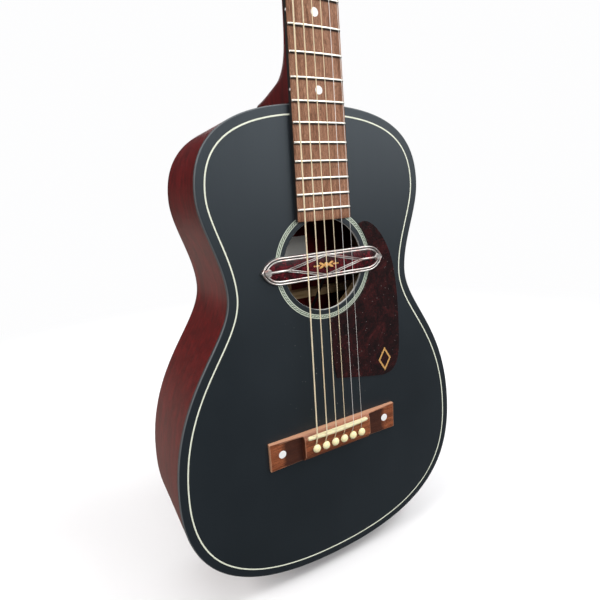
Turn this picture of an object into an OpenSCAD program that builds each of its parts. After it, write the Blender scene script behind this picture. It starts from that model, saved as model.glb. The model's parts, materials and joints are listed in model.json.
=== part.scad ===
// Twelve-fret steel-string acoustic guitar, built up from separate pieces.
// Origin: where the end pin meets the tail of the body, on the centre line.
// +Z runs up the neck, +X to the treble side, the soundboard faces -Y. Millimetres.

/* [Body outline] */
// Body length from the tail to the neck joint
body_len = 453.2; // [446:0.2:460]
// Width of the upper bout
upper_bout_w = 231.4; // [226:0.2:236]
// Width of the waist
waist_w = 195.4; // [190:0.2:200]
// Width of the lower bout
lower_bout_w = 321.2; // [315:0.2:327]
// Height of the widest part of the upper bout above the tail
upper_bout_z = 380.2; // [376:0.2:384]
// Height of the waist above the tail
waist_z = 296.9; // [293:0.2:301]
// Height of the widest part of the lower bout above the tail
lower_bout_z = 118.3; // [114:0.2:122]
// Body depth at the tail
tail_depth = 102; // [98:0.5:104]
// Body depth at the neck joint
neck_depth = 88; // [86:0.5:90]

/* [Plates and sides] */
// Soundboard thickness
top_t = 2.8; // [2.6:0.1:3]
// Back plate thickness
back_t = 2.6; // [2.4:0.1:3]
// Side thickness
side_t = 2.2; // [2:0.1:2.4]
// Soundhole diameter
hole_d = 86; // [84:0.5:88]
// Height of the soundhole centre above the tail
hole_z = 312.5; // [311:0.5:314]
// Rosette ring inner diameter
rosette_in_d = 95; // [94:0.5:96]
// Rosette ring outer diameter
rosette_out_d = 103.6; // [102:0.2:105]
// Distance from the body edge to the purfling line
purf_inset = 8.6; // [8:0.1:9.2]
// Width of the purfling line
purf_w = 1.7; // [1.2:0.1:2.2]

/* [Strings and scale] */
// Scale length from the nut to the theoretical saddle line
scale_l = 609.6; // [606:0.2:613]
// Nut width
nut_w = 42.9; // [42:0.1:43.5]
// Spread of the outer strings at the nut
nut_spread = 36; // [35:0.1:37]
// Spread of the outer strings at the bridge pins
pin_spread = 53.8; // [53:0.1:54.4]
// Height of the saddle crown above the soundboard
saddle_h = 11.4; // [11:0.1:12]
// Height of the strings above the fingerboard surface at the nut
nut_lift = 1.5; // [1.4:0.05:1.8]

/* [Fingerboard] */
// Fingerboard thickness on the centre line
board_t = 6.5; // [6.2:0.1:6.8]
// Fingerboard crown radius
board_r = 305; // [300:5:320]
// Fingerboard width at the twelfth fret
board_w12 = 52.7; // [52:0.1:53.4]
// Number of frets
n_frets = 18; // [16:1:18]
// Fret crown height
fret_h = 1.1; // [1:0.05:1.2]

/* [Neck and headstock] */
// Neck wood depth under the board at the nut
neck_d_nut = 15; // [14.5:0.1:15.5]
// Neck wood depth under the board at the heel
neck_d_heel = 18; // [17.5:0.1:18.5]
// Headstock length
head_len = 165; // [162:1:170]
// Headstock lean back in degrees
head_tilt = 13; // [12.5:0.5:13.5]
// Headstock wood thickness
head_t = 13.5; // [13:0.1:14]
// Headstock width at the shoulders
head_w1 = 70; // [69:0.5:71]
// Headstock width at the top
head_w2 = 75; // [74:0.5:76]

/* [Bridge and saddle] */
// Bridge length
bridge_l = 148.5; // [147:0.5:150]
// Bridge width along the strings
bridge_w = 27.5; // [27:0.1:28]
// Height of the tail-side edge of the bridge above the tail
bridge_z = 125; // [124.5:0.1:125.5]
// Bridge block height
bridge_h = 8.8; // [8.6:0.1:9]
// Bridge pin head diameter
pin_d = 8; // [7.6:0.1:8.2]

/* [Tuners] */
// Spacing of the tuner posts along the headstock
tuner_pitch = 40; // [39:0.5:41]
// Number of teeth on each tuner gear
gear_teeth = 14; // [14:1:14]
// Axial pitch of the tuner worm
worm_p = 2.7; // [2.7:0.1:2.7]

/* [Pickup] */
// Length of the soundhole pickup between its pointed ends
pickup_l = 132; // [130:0.5:134]
// Width of the pickup along the strings
pickup_w = 25; // [24:0.5:26]

/* [Output] */
// Node to draw

/* [Hidden] */
$fn = 64;
sides = [-1, 1];                  // bass, treble
face_y = -tail_depth/2;           // outer face of the soundboard
inner_y = face_y + top_t;         // inner face of the soundboard
nut_z = body_len + scale_l/2;     // the body joins at fret twelve
nut_t = 5.5;
head_z = nut_z + nut_t;
back_slope = atan((tail_depth - neck_depth)/body_len);
taper = (board_w12 - nut_w)/(scale_l/2);  // board widening per mm from the nut
board_end_fret = 18.85;           // board end, in fret spaces from the nut
saddle_z = 147.8;
pin_z = 135.8;
function fret_z(n) = nut_z - scale_l*(1 - pow(2, -n/12));
function mid_fret_z(n) = (fret_z(n) + fret_z(n-1))/2;
function board_w(z) = nut_w + taper*(nut_z - z);
board_end = fret_z(board_end_fret);

// ---------------- curves and shapes ----------------
function bezier(a, b, c, d, t) =
  pow(1-t, 3)*a + 3*pow(1-t, 2)*t*b + 3*(1-t)*t*t*c + pow(t, 3)*d;
// points first to n of a Bezier curve in n steps
function curve(a, b, c, d, n, first=1) = [for (i = [first:n]) bezier(a, b, c, d, i/n)];
function mirror_x(p) = [-p[0], p[1]];
// half an outline followed by its mirror image in reverse
function mirrored(half, skip_end=1, skip_start=0) =
  concat(half, [for (i = [len(half)-1-skip_end:-1:skip_start]) mirror_x(half[i])]);

module box(corner, size) translate(corner) cube(size);
// 2D drawn in (x, z), filling y0 to y0 + t
module plate(y0, t) translate([0, y0+t, 0]) rotate([90, 0, 0]) linear_extrude(t) children();
module y_cyl(x, z, y0, h, r, fn=48) translate([x, y0, z]) rotate([-90, 0, 0])
  cylinder(r=r, h=h, $fn=fn);
module disc_at(z, r) translate([0, z]) circle(r=r, $fn=96);
// frame at p with its z axis aimed at q
module along(p, q) {
  d = q - p;
  translate(p) rotate([-asin(d[1]/norm(d)), atan2(d[0], d[2]), 0]) children();
}
// frame lying on the sloping outer face of the back
module back_frame() translate([0, -face_y, 0]) rotate([back_slope, 0, 0]) children();
// frame of the leaning headstock, y runs into the wood, z up the headstock
module head_frame() translate([0, face_y, head_z]) rotate([-head_tilt, 0, 0]) children();
function head_point(x, y, z) = [x, face_y + y*cos(head_tilt) + z*sin(head_tilt),
  head_z - y*sin(head_tilt) + z*cos(head_tilt)];
// layer parallel to the back, y0 measured from its outer face
module back_layer(y0, t) back_frame() box([-250, y0, -60], [500, t, 620]);
// slab centred on x, right through the body depth
module slab(width, z0, z1) box([-width/2, -100, z0], [width, 200, z1-z0]);
// arc crossing the board, curved to the crown radius
module crown_sweep(y, z, half_angle) translate([0, y+board_r, z]) rotate([0, 0, -90-half_angle])
  rotate_extrude(angle=2*half_angle, $fn=360) translate([board_r, 0]) children();
module crown_cylinder(y, z, h) translate([0, y+board_r, z]) cylinder(r=board_r, h=h, $fn=360);
// 2D strip as wide as the fingerboard
module board_strip(z0, z1) polygon([[-board_w(z0)/2, z0], [board_w(z0)/2, z0],
  [board_w(z1)/2, z1], [-board_w(z1)/2, z1]]);

// ---------------- body outline ----------------
outline_steps = 20;
upper_x = upper_bout_w/2;
waist_x = waist_w/2;
lower_x = lower_bout_w/2;
// treble half from the neck joint to the tail
body_half = concat(
  curve([0, body_len], [69.8, body_len], [upper_x, upper_bout_z+55.7],
    [upper_x, upper_bout_z], outline_steps, 0),
  curve([upper_x, upper_bout_z], [upper_x, upper_bout_z-25.1], [waist_x, waist_z+29.9],
    [waist_x, waist_z], outline_steps),
  curve([waist_x, waist_z], [waist_x, waist_z-42.1], [lower_x, lower_bout_z+105.1],
    [lower_x, lower_bout_z], outline_steps),
  curve([lower_x, lower_bout_z], [lower_x, lower_bout_z-78], [107.1, 0], [0, 0],
    outline_steps));
half_n = len(body_half);
function edge_point(i) = i < 0 ? mirror_x(body_half[-i])
  : i >= half_n ? mirror_x(body_half[2*half_n-2-i]) : body_half[i];
// inward normal
function edge_normal(i) =
  let(t = edge_point(i+1) - edge_point(i-1), l = norm(t)) [t[1]/l, -t[0]/l];
module outline(inset)
  polygon(mirrored([for (i = [0:half_n-1]) body_half[i] + inset*edge_normal(i)], 1, 1));
module outline_ring(outer, inner) difference() {
  outline(outer);
  outline(inner);
}
// everything between the soundboard and the inner face of the back
module cavity() intersection() {
  plate(inner_y, tail_depth) children();
  back_layer(-300, 300-back_t);
}

// ---------------- body box ----------------
inlay_t = 1.2;
lining_w = 5.8;
lining_h = 14;
brace_inset = side_t + lining_w;
block_w = 70;
block_gap_w = block_w + 2;
neck_block_z = 405;   // tail-side face of the neck block
tail_block_z = 20;    // neck-side face of the tail block
dovetail_l = 20;
dovetail_x = [9, 12.5];   // half widths at the body edge and at the deep end
module dovetail(y0, t) plate(y0, t) polygon([
  [-dovetail_x[0], body_len+2], [-dovetail_x[1], body_len-dovetail_l],
  [dovetail_x[1], body_len-dovetail_l], [dovetail_x[0], body_len+2]]);
module jack_hole(h) translate([0, 0, -5]) cylinder(r=6, h=h);
module purfling_ring() outline_ring(purf_inset-purf_w/2, purf_inset+purf_w/2);
module rosette_ring() difference() {
  disc_at(hole_z, rosette_out_d/2);
  disc_at(hole_z, rosette_in_d/2);
}
// bridge pin holes, each with a string slot on its neck side
module pin_bores() for (i = [0:5]) {
  y_cyl(pin_x(i), pin_z, face_y-20, 30, 2.75, 32);
  box([pin_x(i)-0.9, face_y-20, pin_z], [1.8, 30, 4.5]);
}
module soundboard() color("#262c30") difference() {
  plate(face_y, top_t) outline(0);
  plate(face_y-1, top_t+2) disc_at(hole_z, hole_d/2);
  plate(face_y-1, inlay_t+1) purfling_ring();
  plate(face_y-1, inlay_t+1) rosette_ring();
  dovetail(face_y-1, top_t+2);
  pin_bores();
}
module purfling() color("#dfe6cf") difference() {
  plate(face_y, inlay_t) purfling_ring();
  dovetail(face_y-1, 5);
}
module rosette() color("#c9d3bd") plate(face_y, inlay_t) rosette_ring();
module back_plate() color("#6e2f22") intersection() {
  plate(face_y, tail_depth+6) outline(0);
  back_layer(-back_t, back_t);
}
module side_half(side) intersection() {
  difference() {
    cavity() outline_ring(0, side_t);
    dovetail(face_y, 75);
    jack_hole(20);
  }
  box([side > 0 ? 0 : -250, -100, -20], [250, 200, 520]);
}
module side_bass() color("#7a1f22") side_half(-1);
module side_treble() color("#7a1f22") side_half(1);
module lining_gaps() {
  slab(block_gap_w, 400, 460);
  slab(block_gap_w, -5, 35);
}
module lining_front() color("#b98b5e") difference() {
  plate(inner_y, lining_h) outline_ring(side_t, brace_inset);
  lining_gaps();
}
module lining_back() color("#b98b5e") difference() {
  intersection() {
    plate(face_y, tail_depth) outline_ring(side_t, brace_inset);
    back_layer(-back_t-lining_h, lining_h);
  }
  lining_gaps();
}
module neck_block() color("#8a5636") difference() {
  intersection() {
    cavity() outline(side_t);
    slab(block_w, neck_block_z, 465);
  }
  dovetail(face_y, 75);
}
module tail_block() color("#8a5636") difference() {
  intersection() {
    cavity() outline(side_t);
    slab(block_w, -5, tail_block_z);
  }
  jack_hole(40);
}

// ---------------- bracing ----------------
cross_z = 243;        // crossing of the X brace
cross_angle = 46;     // of each leg from the centre line
x_brace_w = 7.5;
x_brace_h = 13;
// space under the soundboard inside the linings
module brace_zone(h) plate(inner_y, h) outline(brace_inset);
module x_bar(side, y0, h) translate([0, y0, cross_z]) rotate([0, side*cross_angle, 0])
  box([-x_brace_w/2, 0, -230], [x_brace_w, h, 400]);
// the treble leg is notched at the front, the bass leg at the back
module x_brace(side) difference() {
  intersection() {
    brace_zone(x_brace_h);
    x_bar(side, inner_y, x_brace_h);
  }
  x_bar(-side, inner_y+(side > 0 ? -1 : x_brace_h/2), x_brace_h/2+1);
  slab(block_gap_w, -5, tail_block_z);
}
module x_brace_bass() color("#d9b98c") x_brace(-1);
module x_brace_treble() color("#d9b98c") x_brace(1);
module upper_brace() color("#d9b98c") intersection() {
  brace_zone(15);
  slab(300, 368, 381);
}
tone_bars = [[8, 92, 190, 9], [20, 52, 150, 8]];  // centre x, centre z, length, height
tone_bar_w = 6;
side_bar = [90, 7, 5.5];                          // length, height, width
module top_bars() color("#d9b98c") intersection() {
  brace_zone(9);
  union() {
    for (b = tone_bars) translate([b[0], inner_y, b[1]]) rotate([0, 14, 0])
      box([-b[2]/2, 0, -tone_bar_w/2], [b[2], b[3], tone_bar_w]);
    // short bars outboard of the X legs
    for (s = sides, z = [214, 172]) {
      x0 = (cross_z-z)*tan(cross_angle) + 9;
      box([s > 0 ? x0 : -x0-side_bar[0], inner_y, z-side_bar[2]/2], side_bar);
    }
  }
}
module bridge_plate() color("#c08a52") difference() {
  plate(inner_y, 2.5) polygon([[-74, 120], [-70, 158], [70, 158], [74, 120]]);
  pin_bores();
}
back_brace_sizes = [[370, 8, 14], [270, 8, 14], [172, 16, 8], [84, 16, 8]]; // z, width, height
module back_bar(brace, depth, h)
  box([-200, -back_t-depth, brace[0]-brace[1]/2], [400, h, brace[1]]);
module back_braces() color("#c99d6b") intersection() {
  cavity() outline(brace_inset);
  back_frame() for (b = back_brace_sizes) back_bar(b, b[2], b[2]);
}
strip_t = 2.2;
// interrupted by the blocks, the back braces and a gap around the label
module back_center_strip() color("#b98b5e") difference() {
  intersection() {
    cavity() outline(side_t);
    back_frame() box([-9, -back_t-strip_t, 22], [18, strip_t, 380]);
  }
  back_frame() for (b = back_brace_sizes) back_bar(b, 20, 30);
  slab(block_gap_w, neck_block_z, 465);
  slab(block_gap_w, -5, tail_block_z);
  back_frame() box([-20, -back_t-20, 287.5], [40, 30, 47]);
}
module label() color("#e8e0c8") back_frame() box([-1, -back_t-0.25, 288], [34, 0.25, 46]);

// ---------------- pickguard ----------------
guard_t = 1.4;
guard_inlay_t = 0.3;
// outer sweep, foot and the left edge under the strings
guard_edge = concat(
  curve([38.5, 345], [47, 356], [66, 343], [77, 314], 12, 0),
  curve([77, 314], [84, 295], [86.5, 262], [86.2, 226], 12),
  curve([86.2, 226], [86, 203], [84, 186], [63, 187], 12),
  curve([63, 187], [45, 189.5], [25, 194], [6, 198], 6),
  curve([6, 198], [3, 215], [2, 240], [1, 262], 4));
// cut back around the rosette, the fingerboard and the pickup
module pickguard() color("#2a0f10") plate(face_y-guard_t, guard_t) difference() {
  polygon(concat(guard_edge, [[1, 300], [30, 330]]));
  disc_at(hole_z, rosette_out_d/2+0.3);
  polygon([[0, board_end-1], [board_w(board_end)/2+1.2, board_end-1],
    [board_w(400)/2+1.2, 400], [0, 400]]);
  translate([0, hole_z-pickup_w/2-1]) square([pickup_l/2+1, pickup_w+2]);
}
module lozenge(r) polygon([[66, 204-r], [66+0.62*r, 204], [66, 204+r], [66-0.62*r, 204]]);
module pickguard_inlay() color("#c9a15a") plate(face_y-guard_t-guard_inlay_t, guard_inlay_t)
  difference() {
    lozenge(13);
    lozenge(9.5);
  }

// ---------------- bridge ----------------
bridge_x = bridge_l/2;
block_x = 39;         // half length of the full-height middle
rim_w = 3.5;          // neck-side strip with its own wing shape
saddle_x_end = 33.8;  // centre of each rounded saddle end
saddle_t = 3;
// section in (x, height): the wings stand at inner_h by the block, inner_h + rise at the tips
module bridge_profile(inner_h, rise) polygon(mirrored(concat([[-bridge_x, 0]],
  [for (i = [0:12]) [-bridge_x + (bridge_x-block_x)*i/12, inner_h + rise*pow(1-i/12, 1.3)]],
  [[-block_x, bridge_h]]), 0));
module bridge_slice(z, w, inner_h, rise) translate([0, face_y, z]) mirror([0, 1, 0])
  linear_extrude(w) bridge_profile(inner_h, rise);
module bridge_main() bridge_slice(bridge_z, bridge_w-rim_w, 3.6, 1.9);
module bridge_bevel(z, angle, y, t) translate([-100, face_y-bridge_h, z]) rotate([angle, 0, 0])
  box([0, y, -5], [200, t, 10]);
module dot_bores() for (s = sides) y_cyl(s*61.4, 138.7, face_y-7, 3, 3.9);
module bridge() color("#9a5a3c") difference() {
  union() {
    bridge_main();
    bridge_slice(bridge_z+bridge_w-rim_w, rim_w, 7.8, -2.2);
  }
  bridge_bevel(bridge_z+bridge_w, -45, -1.8, 3);
  bridge_bevel(bridge_z, 45, -1.4, 2);
  saddle_blank(face_y-12, 8);
  pin_bores();
  for (i = [0:5]) string_ramp(i);
  dot_bores();
}
// slot that lets a string rise from its pin to the saddle
module string_ramp(i) along(pin_bend(i), saddle_point(i)) box([-0.9, -3, -1], [1.8, 3.9, 14]);
module saddle_blank(y0, h) {
  box([-saddle_x_end, y0, saddle_z-saddle_t/2], [2*saddle_x_end, h, saddle_t]);
  for (s = sides) y_cyl(s*saddle_x_end, saddle_z, y0, h, saddle_t/2, 24);
}
module saddle() color("#efe6cf") intersection() {
  saddle_blank(face_y-13, 9);
  crown_sweep(face_y-saddle_h, saddle_z, 8) polygon([[-9, -3], [-9, 3], [-1.2, 3],
    [-0.2, 1.5], [0, 0], [-1.1, -1.5], [-2, -3]]);
}
// domed head above a tapering shank
pin_profile = concat([[0, -3.4]],
  [for (a = [10:10:90]) [pin_d/2*sin(a), -1.0-2.4*cos(a)]],
  [[pin_d/2, -0.8], [2.7, -0.8], [2.6, 0], [2.2, 22], [1.2, 24], [0, 24]]);
module bridge_pins() color("#efe6cf") for (i = [0:5])
  translate([pin_x(i), face_y-bridge_h, pin_z]) rotate([-90, 0, 0])
    rotate_extrude($fn=48) polygon(pin_profile);
module bridge_dots() color("#e8eef0") intersection() {
  dot_bores();
  bridge_main();
}

// ---------------- neck ----------------
// radius of the arc with this chord and depth
function arc_r(chord, depth) = (pow(chord/2, 2) + pow(depth, 2))/(2*depth);
nut_arc_r = arc_r(nut_w, neck_d_nut);
heel_arc_r = arc_r(board_w12, neck_d_heel);
heel_y = face_y + neck_depth;
cap_t = 3;
heel_layers = 5;
// cone trimmed to the width and face of the fingerboard
module neck_blank() {
  shaft_l = nut_z - body_len;
  slope = (heel_arc_r-nut_arc_r)/shaft_l;
  intersection() {
    along([0, face_y+neck_d_heel-heel_arc_r, body_len], [0, face_y+neck_d_nut-nut_arc_r, nut_z])
      translate([0, 0, -6])
        cylinder(r1=heel_arc_r+6*slope, r2=nut_arc_r-7*slope, h=shaft_l+13, $fn=128);
    plate(face_y, 60) board_strip(body_len-6, head_z);
  }
}
// the heel is built from nested layers: wide ones close to the body, slim ones reaching
// up the shaft; u runs from 0 for the widest layer to 1 for the slimmest
// side view in (z, y)
function heel_side(u) = concat([[body_len-6, face_y+4], [506+58*u, face_y+4]],
  curve([506+58*u, face_y+12.4], [478+29*u, face_y+15.5+u],
    [461+10.5*u, face_y+30+12*u], [460.5+8*u, heel_y], 16, 0),
  [[body_len-6, heel_y]]);
// treble half of the section in (x, y)
heel_half = concat([[board_w12/2, face_y]], curve([board_w12/2, face_y+1],
  [26, face_y+20], [18.5, face_y+40], [14, heel_y], 12, 0));
function heel_section(u) =
  mirrored([for (p = heel_half) [p[0]*(1 - 0.55*pow(u, 0.8)), p[1]]], 0);
module heel_solid() for (k = [0:heel_layers-1]) {
  u = k/(heel_layers-1);
  intersection() {
    translate([-40, 0, 0]) rotate([90, 0, 90]) linear_extrude(80)
      polygon([for (p = heel_side(u)) [p[1], p[0]]]);
    translate([0, 0, body_len-10]) linear_extrude(130) polygon(heel_section(u));
  }
}
module cap_zone(depth) box([-50, heel_y-cap_t, 400], [100, depth, 120]);
// headstock outline in (x, z) of the head frame
head_x1 = head_w1/2;
head_x2 = head_w2/2;
head_base_x = board_w(head_z)/2;
head_outline = mirrored(concat([[head_base_x, -3.2], [head_base_x, 2]],
  curve([head_base_x, 2], [head_base_x+1, 15], [head_x1, 14], [head_x1, 27], 8),
  [[head_x2, head_len-8]],
  curve([head_x2, head_len-8], [head_x2, head_len-3], [head_x2-8, head_len-2],
    [head_x2-18, head_len-2], 8),
  curve([head_x2-18, head_len-2], [12, head_len-2], [6, head_len], [0, head_len], 6)));
rod_y = face_y + 5.6;
pocket_x = 4.2;   // half width of the nut access pocket
module rod_pocket() {
  box([-3.2, face_y-1, body_len-2], [6.4, 10, nut_z-body_len+4]);
  translate([0, rod_y, nut_z+1]) cylinder(r=pocket_x, h=40);
  box([-pocket_x, face_y-8, head_z-1], [2*pocket_x, 8+5.6, 26]);
}
post_x = 23.5;
screw_r = 1.1;
function post_z(row) = 45 + tuner_pitch*row;
// these place their children within the head frame
module at_tuner(side, row) translate([side*post_x, 0, post_z(row)]) children();
module at_tuners() for (s = sides, row = [0:2]) at_tuner(s, row) children();
module at_plate_screws() for (s = sides, row = [0:2], dz = [-15.5, 13])
  translate([s*(post_x-1), 0, post_z(row)+dz]) children();
module at_cover_screws() for (p = [[0, 38], [-5.6, 6], [5.6, 6]])
  translate([p[0], 0, p[1]]) children();
module neck() color("#6a2420") difference() {
  union() {
    neck_blank();
    difference() {
      heel_solid();
      cap_zone(20);
    }
    dovetail(face_y, 70);
    head_frame() plate(0, head_t) polygon(head_outline);
  }
  // clear the body, but leave the dovetail
  difference() {
    plate(face_y-1, 110) outline(0);
    dovetail(face_y, 70);
  }
  box([-60, face_y-30, body_len-40], [120, 30, head_z-body_len+40]);
  rod_pocket();
  head_frame() at_tuners() {
    y_cyl(0, 0, -1, head_t+2, 3.4, 32);
    y_cyl(0, 0, -1, 7, 4.4, 32);
  }
  head_frame() at_plate_screws() y_cyl(0, 0, head_t-8, 10, screw_r, 24);
  head_frame() cover_holes();
}
module heel_cap() color("#141414") difference() {
  intersection() {
    heel_solid();
    cap_zone(cap_t);
  }
  plate(face_y-1, 120) outline(0);
}
module headplate() color("#1b1718") head_frame() difference() {
  plate(-2, 2) polygon([for (p = head_outline) [p[0], max(p[1], 0.25)]]);
  plate(-3, 4) polygon([[-pocket_x, -1], [pocket_x, -1], [pocket_x, 26], [-pocket_x, 26]]);
  at_tuners() y_cyl(0, 0, -3, 5, 4.4, 32);
  cover_holes();
}
// rod, anchor block at the body end, thinner stud into the nut
module truss_rod() color("#8f9296") {
  translate([0, rod_y, body_len+4]) cylinder(r=2.4, h=nut_z-body_len-2, $fn=32);
  box([-3.1, face_y+0.2, body_len+0.5], [6.2, 8.7, 3.5]);
  translate([0, rod_y, nut_z+2]) cylinder(r=1.6, h=10, $fn=32);
}
module truss_rod_nut() color("#c9a24a") difference() {
  translate([0, rod_y, nut_z+3]) cylinder(r=3.4, h=15, $fn=48);
  translate([0, rod_y, nut_z+1]) cylinder(r=1.65, h=12, $fn=32);
  translate([0, rod_y, nut_z+13.2]) cylinder(r=2.3, h=8, $fn=6);  // hex socket
}
cover_outline = mirrored(concat(curve([7, 3], [8, 20], [15, 24], [13, 33], 8, 0),
  curve([13, 33], [12, 40], [5, 41], [0, 44], 8)));
module cover_holes() at_cover_screws() y_cyl(0, 0, -5, 12, screw_r, 24);
module truss_rod_cover() color("#111113") head_frame() difference() {
  plate(-4, 2) polygon(cover_outline);
  cover_holes();
}
// slotted screw, its seat at y; angle -90 drives it to +Y, 90 to -Y
module wood_screw(y, angle) translate([0, y, 0]) rotate([angle, 0, 0]) difference() {
  union() {
    cylinder(r=screw_r, h=8, $fn=24);
    translate([0, 0, -1.2]) cylinder(r=2.3, h=1.2, $fn=32);
  }
  box([-3, -0.3, -2], [6, 0.6, 1.3]);
}
module headstock_screws() color("#b9bcc0") head_frame() {
  at_plate_screws() wood_screw(head_t+1, 90);
  at_cover_screws() wood_screw(-4, -90);
}

// ---------------- fingerboard ----------------
dot_frets = [3, 5, 7, 9, 12];
module board_prism() plate(face_y-board_t-1, board_t+1) board_strip(board_end, nut_z);
// round bores in the face and in the bass edge
module board_dots() for (n = dot_frets) {
  z = mid_fret_z(n);
  y_cyl(0, z, face_y-board_t, 1.5, 3.2);
  translate([-board_w(z)/2-1, face_y-3.4, z]) rotate([0, 90, 0]) cylinder(r=1.1, h=3, $fn=24);
}
module fingerboard() color("#a5745a") difference() {
  intersection() {
    board_prism();
    crown_cylinder(face_y-board_t, board_end-1, nut_z-board_end+2);
  }
  for (n = [1:n_frets]) crown_sweep(face_y-board_t, fret_z(n)-0.3, 6)
    translate([-1.9, 0]) square([3, 0.6]);
  board_dots();
}
module position_dots() color("#e6ebe6") intersection() {
  board_dots();
  board_prism();
}
// tang and crown, x measured outward from the board surface
fret_section = [[-1.9, -0.29], [0.02, -0.29], [0.02, -1.2], [0.55, -1.0], [0.95, -0.5],
  [fret_h, 0], [0.95, 0.5], [0.55, 1.0], [0.02, 1.2], [0.02, 0.29], [-1.9, 0.29]];
module frets() color("#c8cacc") for (n = [1:n_frets])
  crown_sweep(face_y-board_t, fret_z(n), asin((board_w(fret_z(n))/2-0.15)/board_r))
    polygon(fret_section);
module nut() color("#efe6cf") difference() {
  intersection() {
    box([-nut_w/2, face_y-12, nut_z], [nut_w, 12, nut_t]);
    crown_cylinder(face_y-board_t-nut_lift-0.5, nut_z-1, 8);
  }
  for (i = [0:5]) {
    slot_r = gauge[i]/2 + 0.04;
    along(nut_point(i), post_point(i)) {
      translate([0, 0, -3]) cylinder(r=slot_r, h=12, $fn=24);
      box([-slot_r, -5, -3], [2*slot_r, 5, 12]);
    }
  }
}

// ---------------- strings ----------------
gauge = [1.35, 1.07, 0.81, 0.62, 0.42, 0.32];  // diameters, bass to treble
wrap_y = -9.5;                                 // where a string meets its post
function spread_x(width, i) = -width/2 + width*i/5;
function pin_x(i) = spread_x(pin_spread, i);
function nut_x(i) = spread_x(nut_spread, i);
function saddle_x(i) = nut_x(i) + (pin_x(i)-nut_x(i))*(nut_z-saddle_z)/(nut_z-pin_z);
function crown_drop(x) = x*x/(2*board_r);
// path of string i: bend by its pin, saddle, nut, tuner post
function pin_bend(i) = [pin_x(i), face_y-bridge_h+1.2, pin_z+3.5];
function saddle_point(i) =
  [saddle_x(i), face_y - saddle_h + crown_drop(saddle_x(i)) - gauge[i]/2, saddle_z];
function nut_point(i) =
  [nut_x(i), face_y - board_t + crown_drop(nut_x(i)) - nut_lift - gauge[i]/2, nut_z+0.01];
function post_point(i) = head_point((i < 3 ? -1 : 1)*(post_x - 2.55 - gauge[i]/2), wrap_y,
  post_z(i < 3 ? i : 5-i));

// round tube along a bent path, mitred at each bend
function direction(a, b) = (b-a)/norm(b-a);
// points moved along dir onto the plane through p with this normal
function slide(points, dir, p, normal) =
  [for (q = points) q + dir*(((p-q)*normal)/(dir*normal))];
function rings(path, dirs, i, previous) = i == len(path) ? [] :
  let(normal = i < len(dirs) ? dirs[i-1]+dirs[i] : dirs[i-1],
    ring = slide(previous, dirs[i-1], path[i], normal))
  concat(ring, rings(path, dirs, i+1, ring));
module tube(path, r, n) {
  last = len(path) - 1;
  dirs = [for (i = [0:last-1]) direction(path[i], path[i+1])];
  across = [1, 0, 0] - dirs[0][0]*dirs[0];
  u = across/norm(across);
  v = cross(dirs[0], u);
  first = [for (k = [0:n-1]) path[0] + r*cos(360*(k+0.5)/n)*u + r*sin(360*(k+0.5)/n)*v];
  caps = [[for (k = [0:n-1]) k], [for (k = [n-1:-1:0]) last*n + k]];
  walls = [for (i = [0:last-1]) for (k = [0:n-1])
    let(j = (k+1)%n) [(i+1)*n+k, (i+1)*n+j, i*n+j, i*n+k]];
  polyhedron(points=concat(first, rings(path, dirs, 1, first)),
    faces=concat(caps, walls), convexity=6);
}
// string with the ball at its lower end
module string(i) {
  bend = pin_bend(i);
  tube([[bend[0], inner_y+4.4, bend[2]], bend, saddle_point(i), nut_point(i), post_point(i)],
    gauge[i]/2, 12);
  translate([bend[0]-1.9, inner_y+4.6, bend[2]+0.9]) rotate([0, 90, 0])
    cylinder(r=1.9, h=3.8, $fn=24);
}
module strings_wound() color("#b98a4a") for (i = [0:3]) string(i);
module strings_plain() color("#c6c8ca") for (i = [4:5]) string(i);

// ---------------- tuners ----------------
tuner_plate_t = 1;
gear_r = gear_teeth*worm_p/(2*PI);
worm_r = 2.2;
worm_l = 9;
worm_drop = gear_r + worm_r + 0.12;       // worm axis below the post axis
gear_y = head_t + tuner_plate_t + 3.3;    // mid plane of the gears
key_reach = head_w2/2 + 3.5 - post_x;     // from the post axis to past the headstock edge
tooth = [[gear_r-0.95, -0.95], [gear_r+0.62, -0.31], [gear_r+0.62, 0.31], [gear_r-0.95, 0.95]];
module gear_outline() polygon([for (k = [0:gear_teeth-1])
  let (a = 270 + 360*(k+0.5)/gear_teeth)
    each [for (p = tooth) [p[0]*cos(a) - p[1]*sin(a), p[0]*sin(a) + p[1]*cos(a)]]]);
// post with a waist for the string, and its gear behind the headstock
module tuner_post(side, row) color("#c4c6c9") head_frame() at_tuner(side, row) difference() {
  union() {
    y_cyl(0, 0, -18.5, 3.5, 3);
    y_cyl(0, 0, -15, 10, 2.4);
    y_cyl(0, 0, -5, head_t+5+tuner_plate_t+0.1, 3);
    y_cyl(0, 0, head_t, gear_y-head_t+1, 2.6);
    y_cyl(0, 0, gear_y+1, 1.6, 2.9, 32);
    plate(gear_y-1.4, 2.8) gear_outline();
  }
  translate([0, -11, -5]) cylinder(r=0.8, h=10, $fn=24);
  box([-4, gear_y+1.9, -0.4], [8, 2, 0.8]);
}
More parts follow.
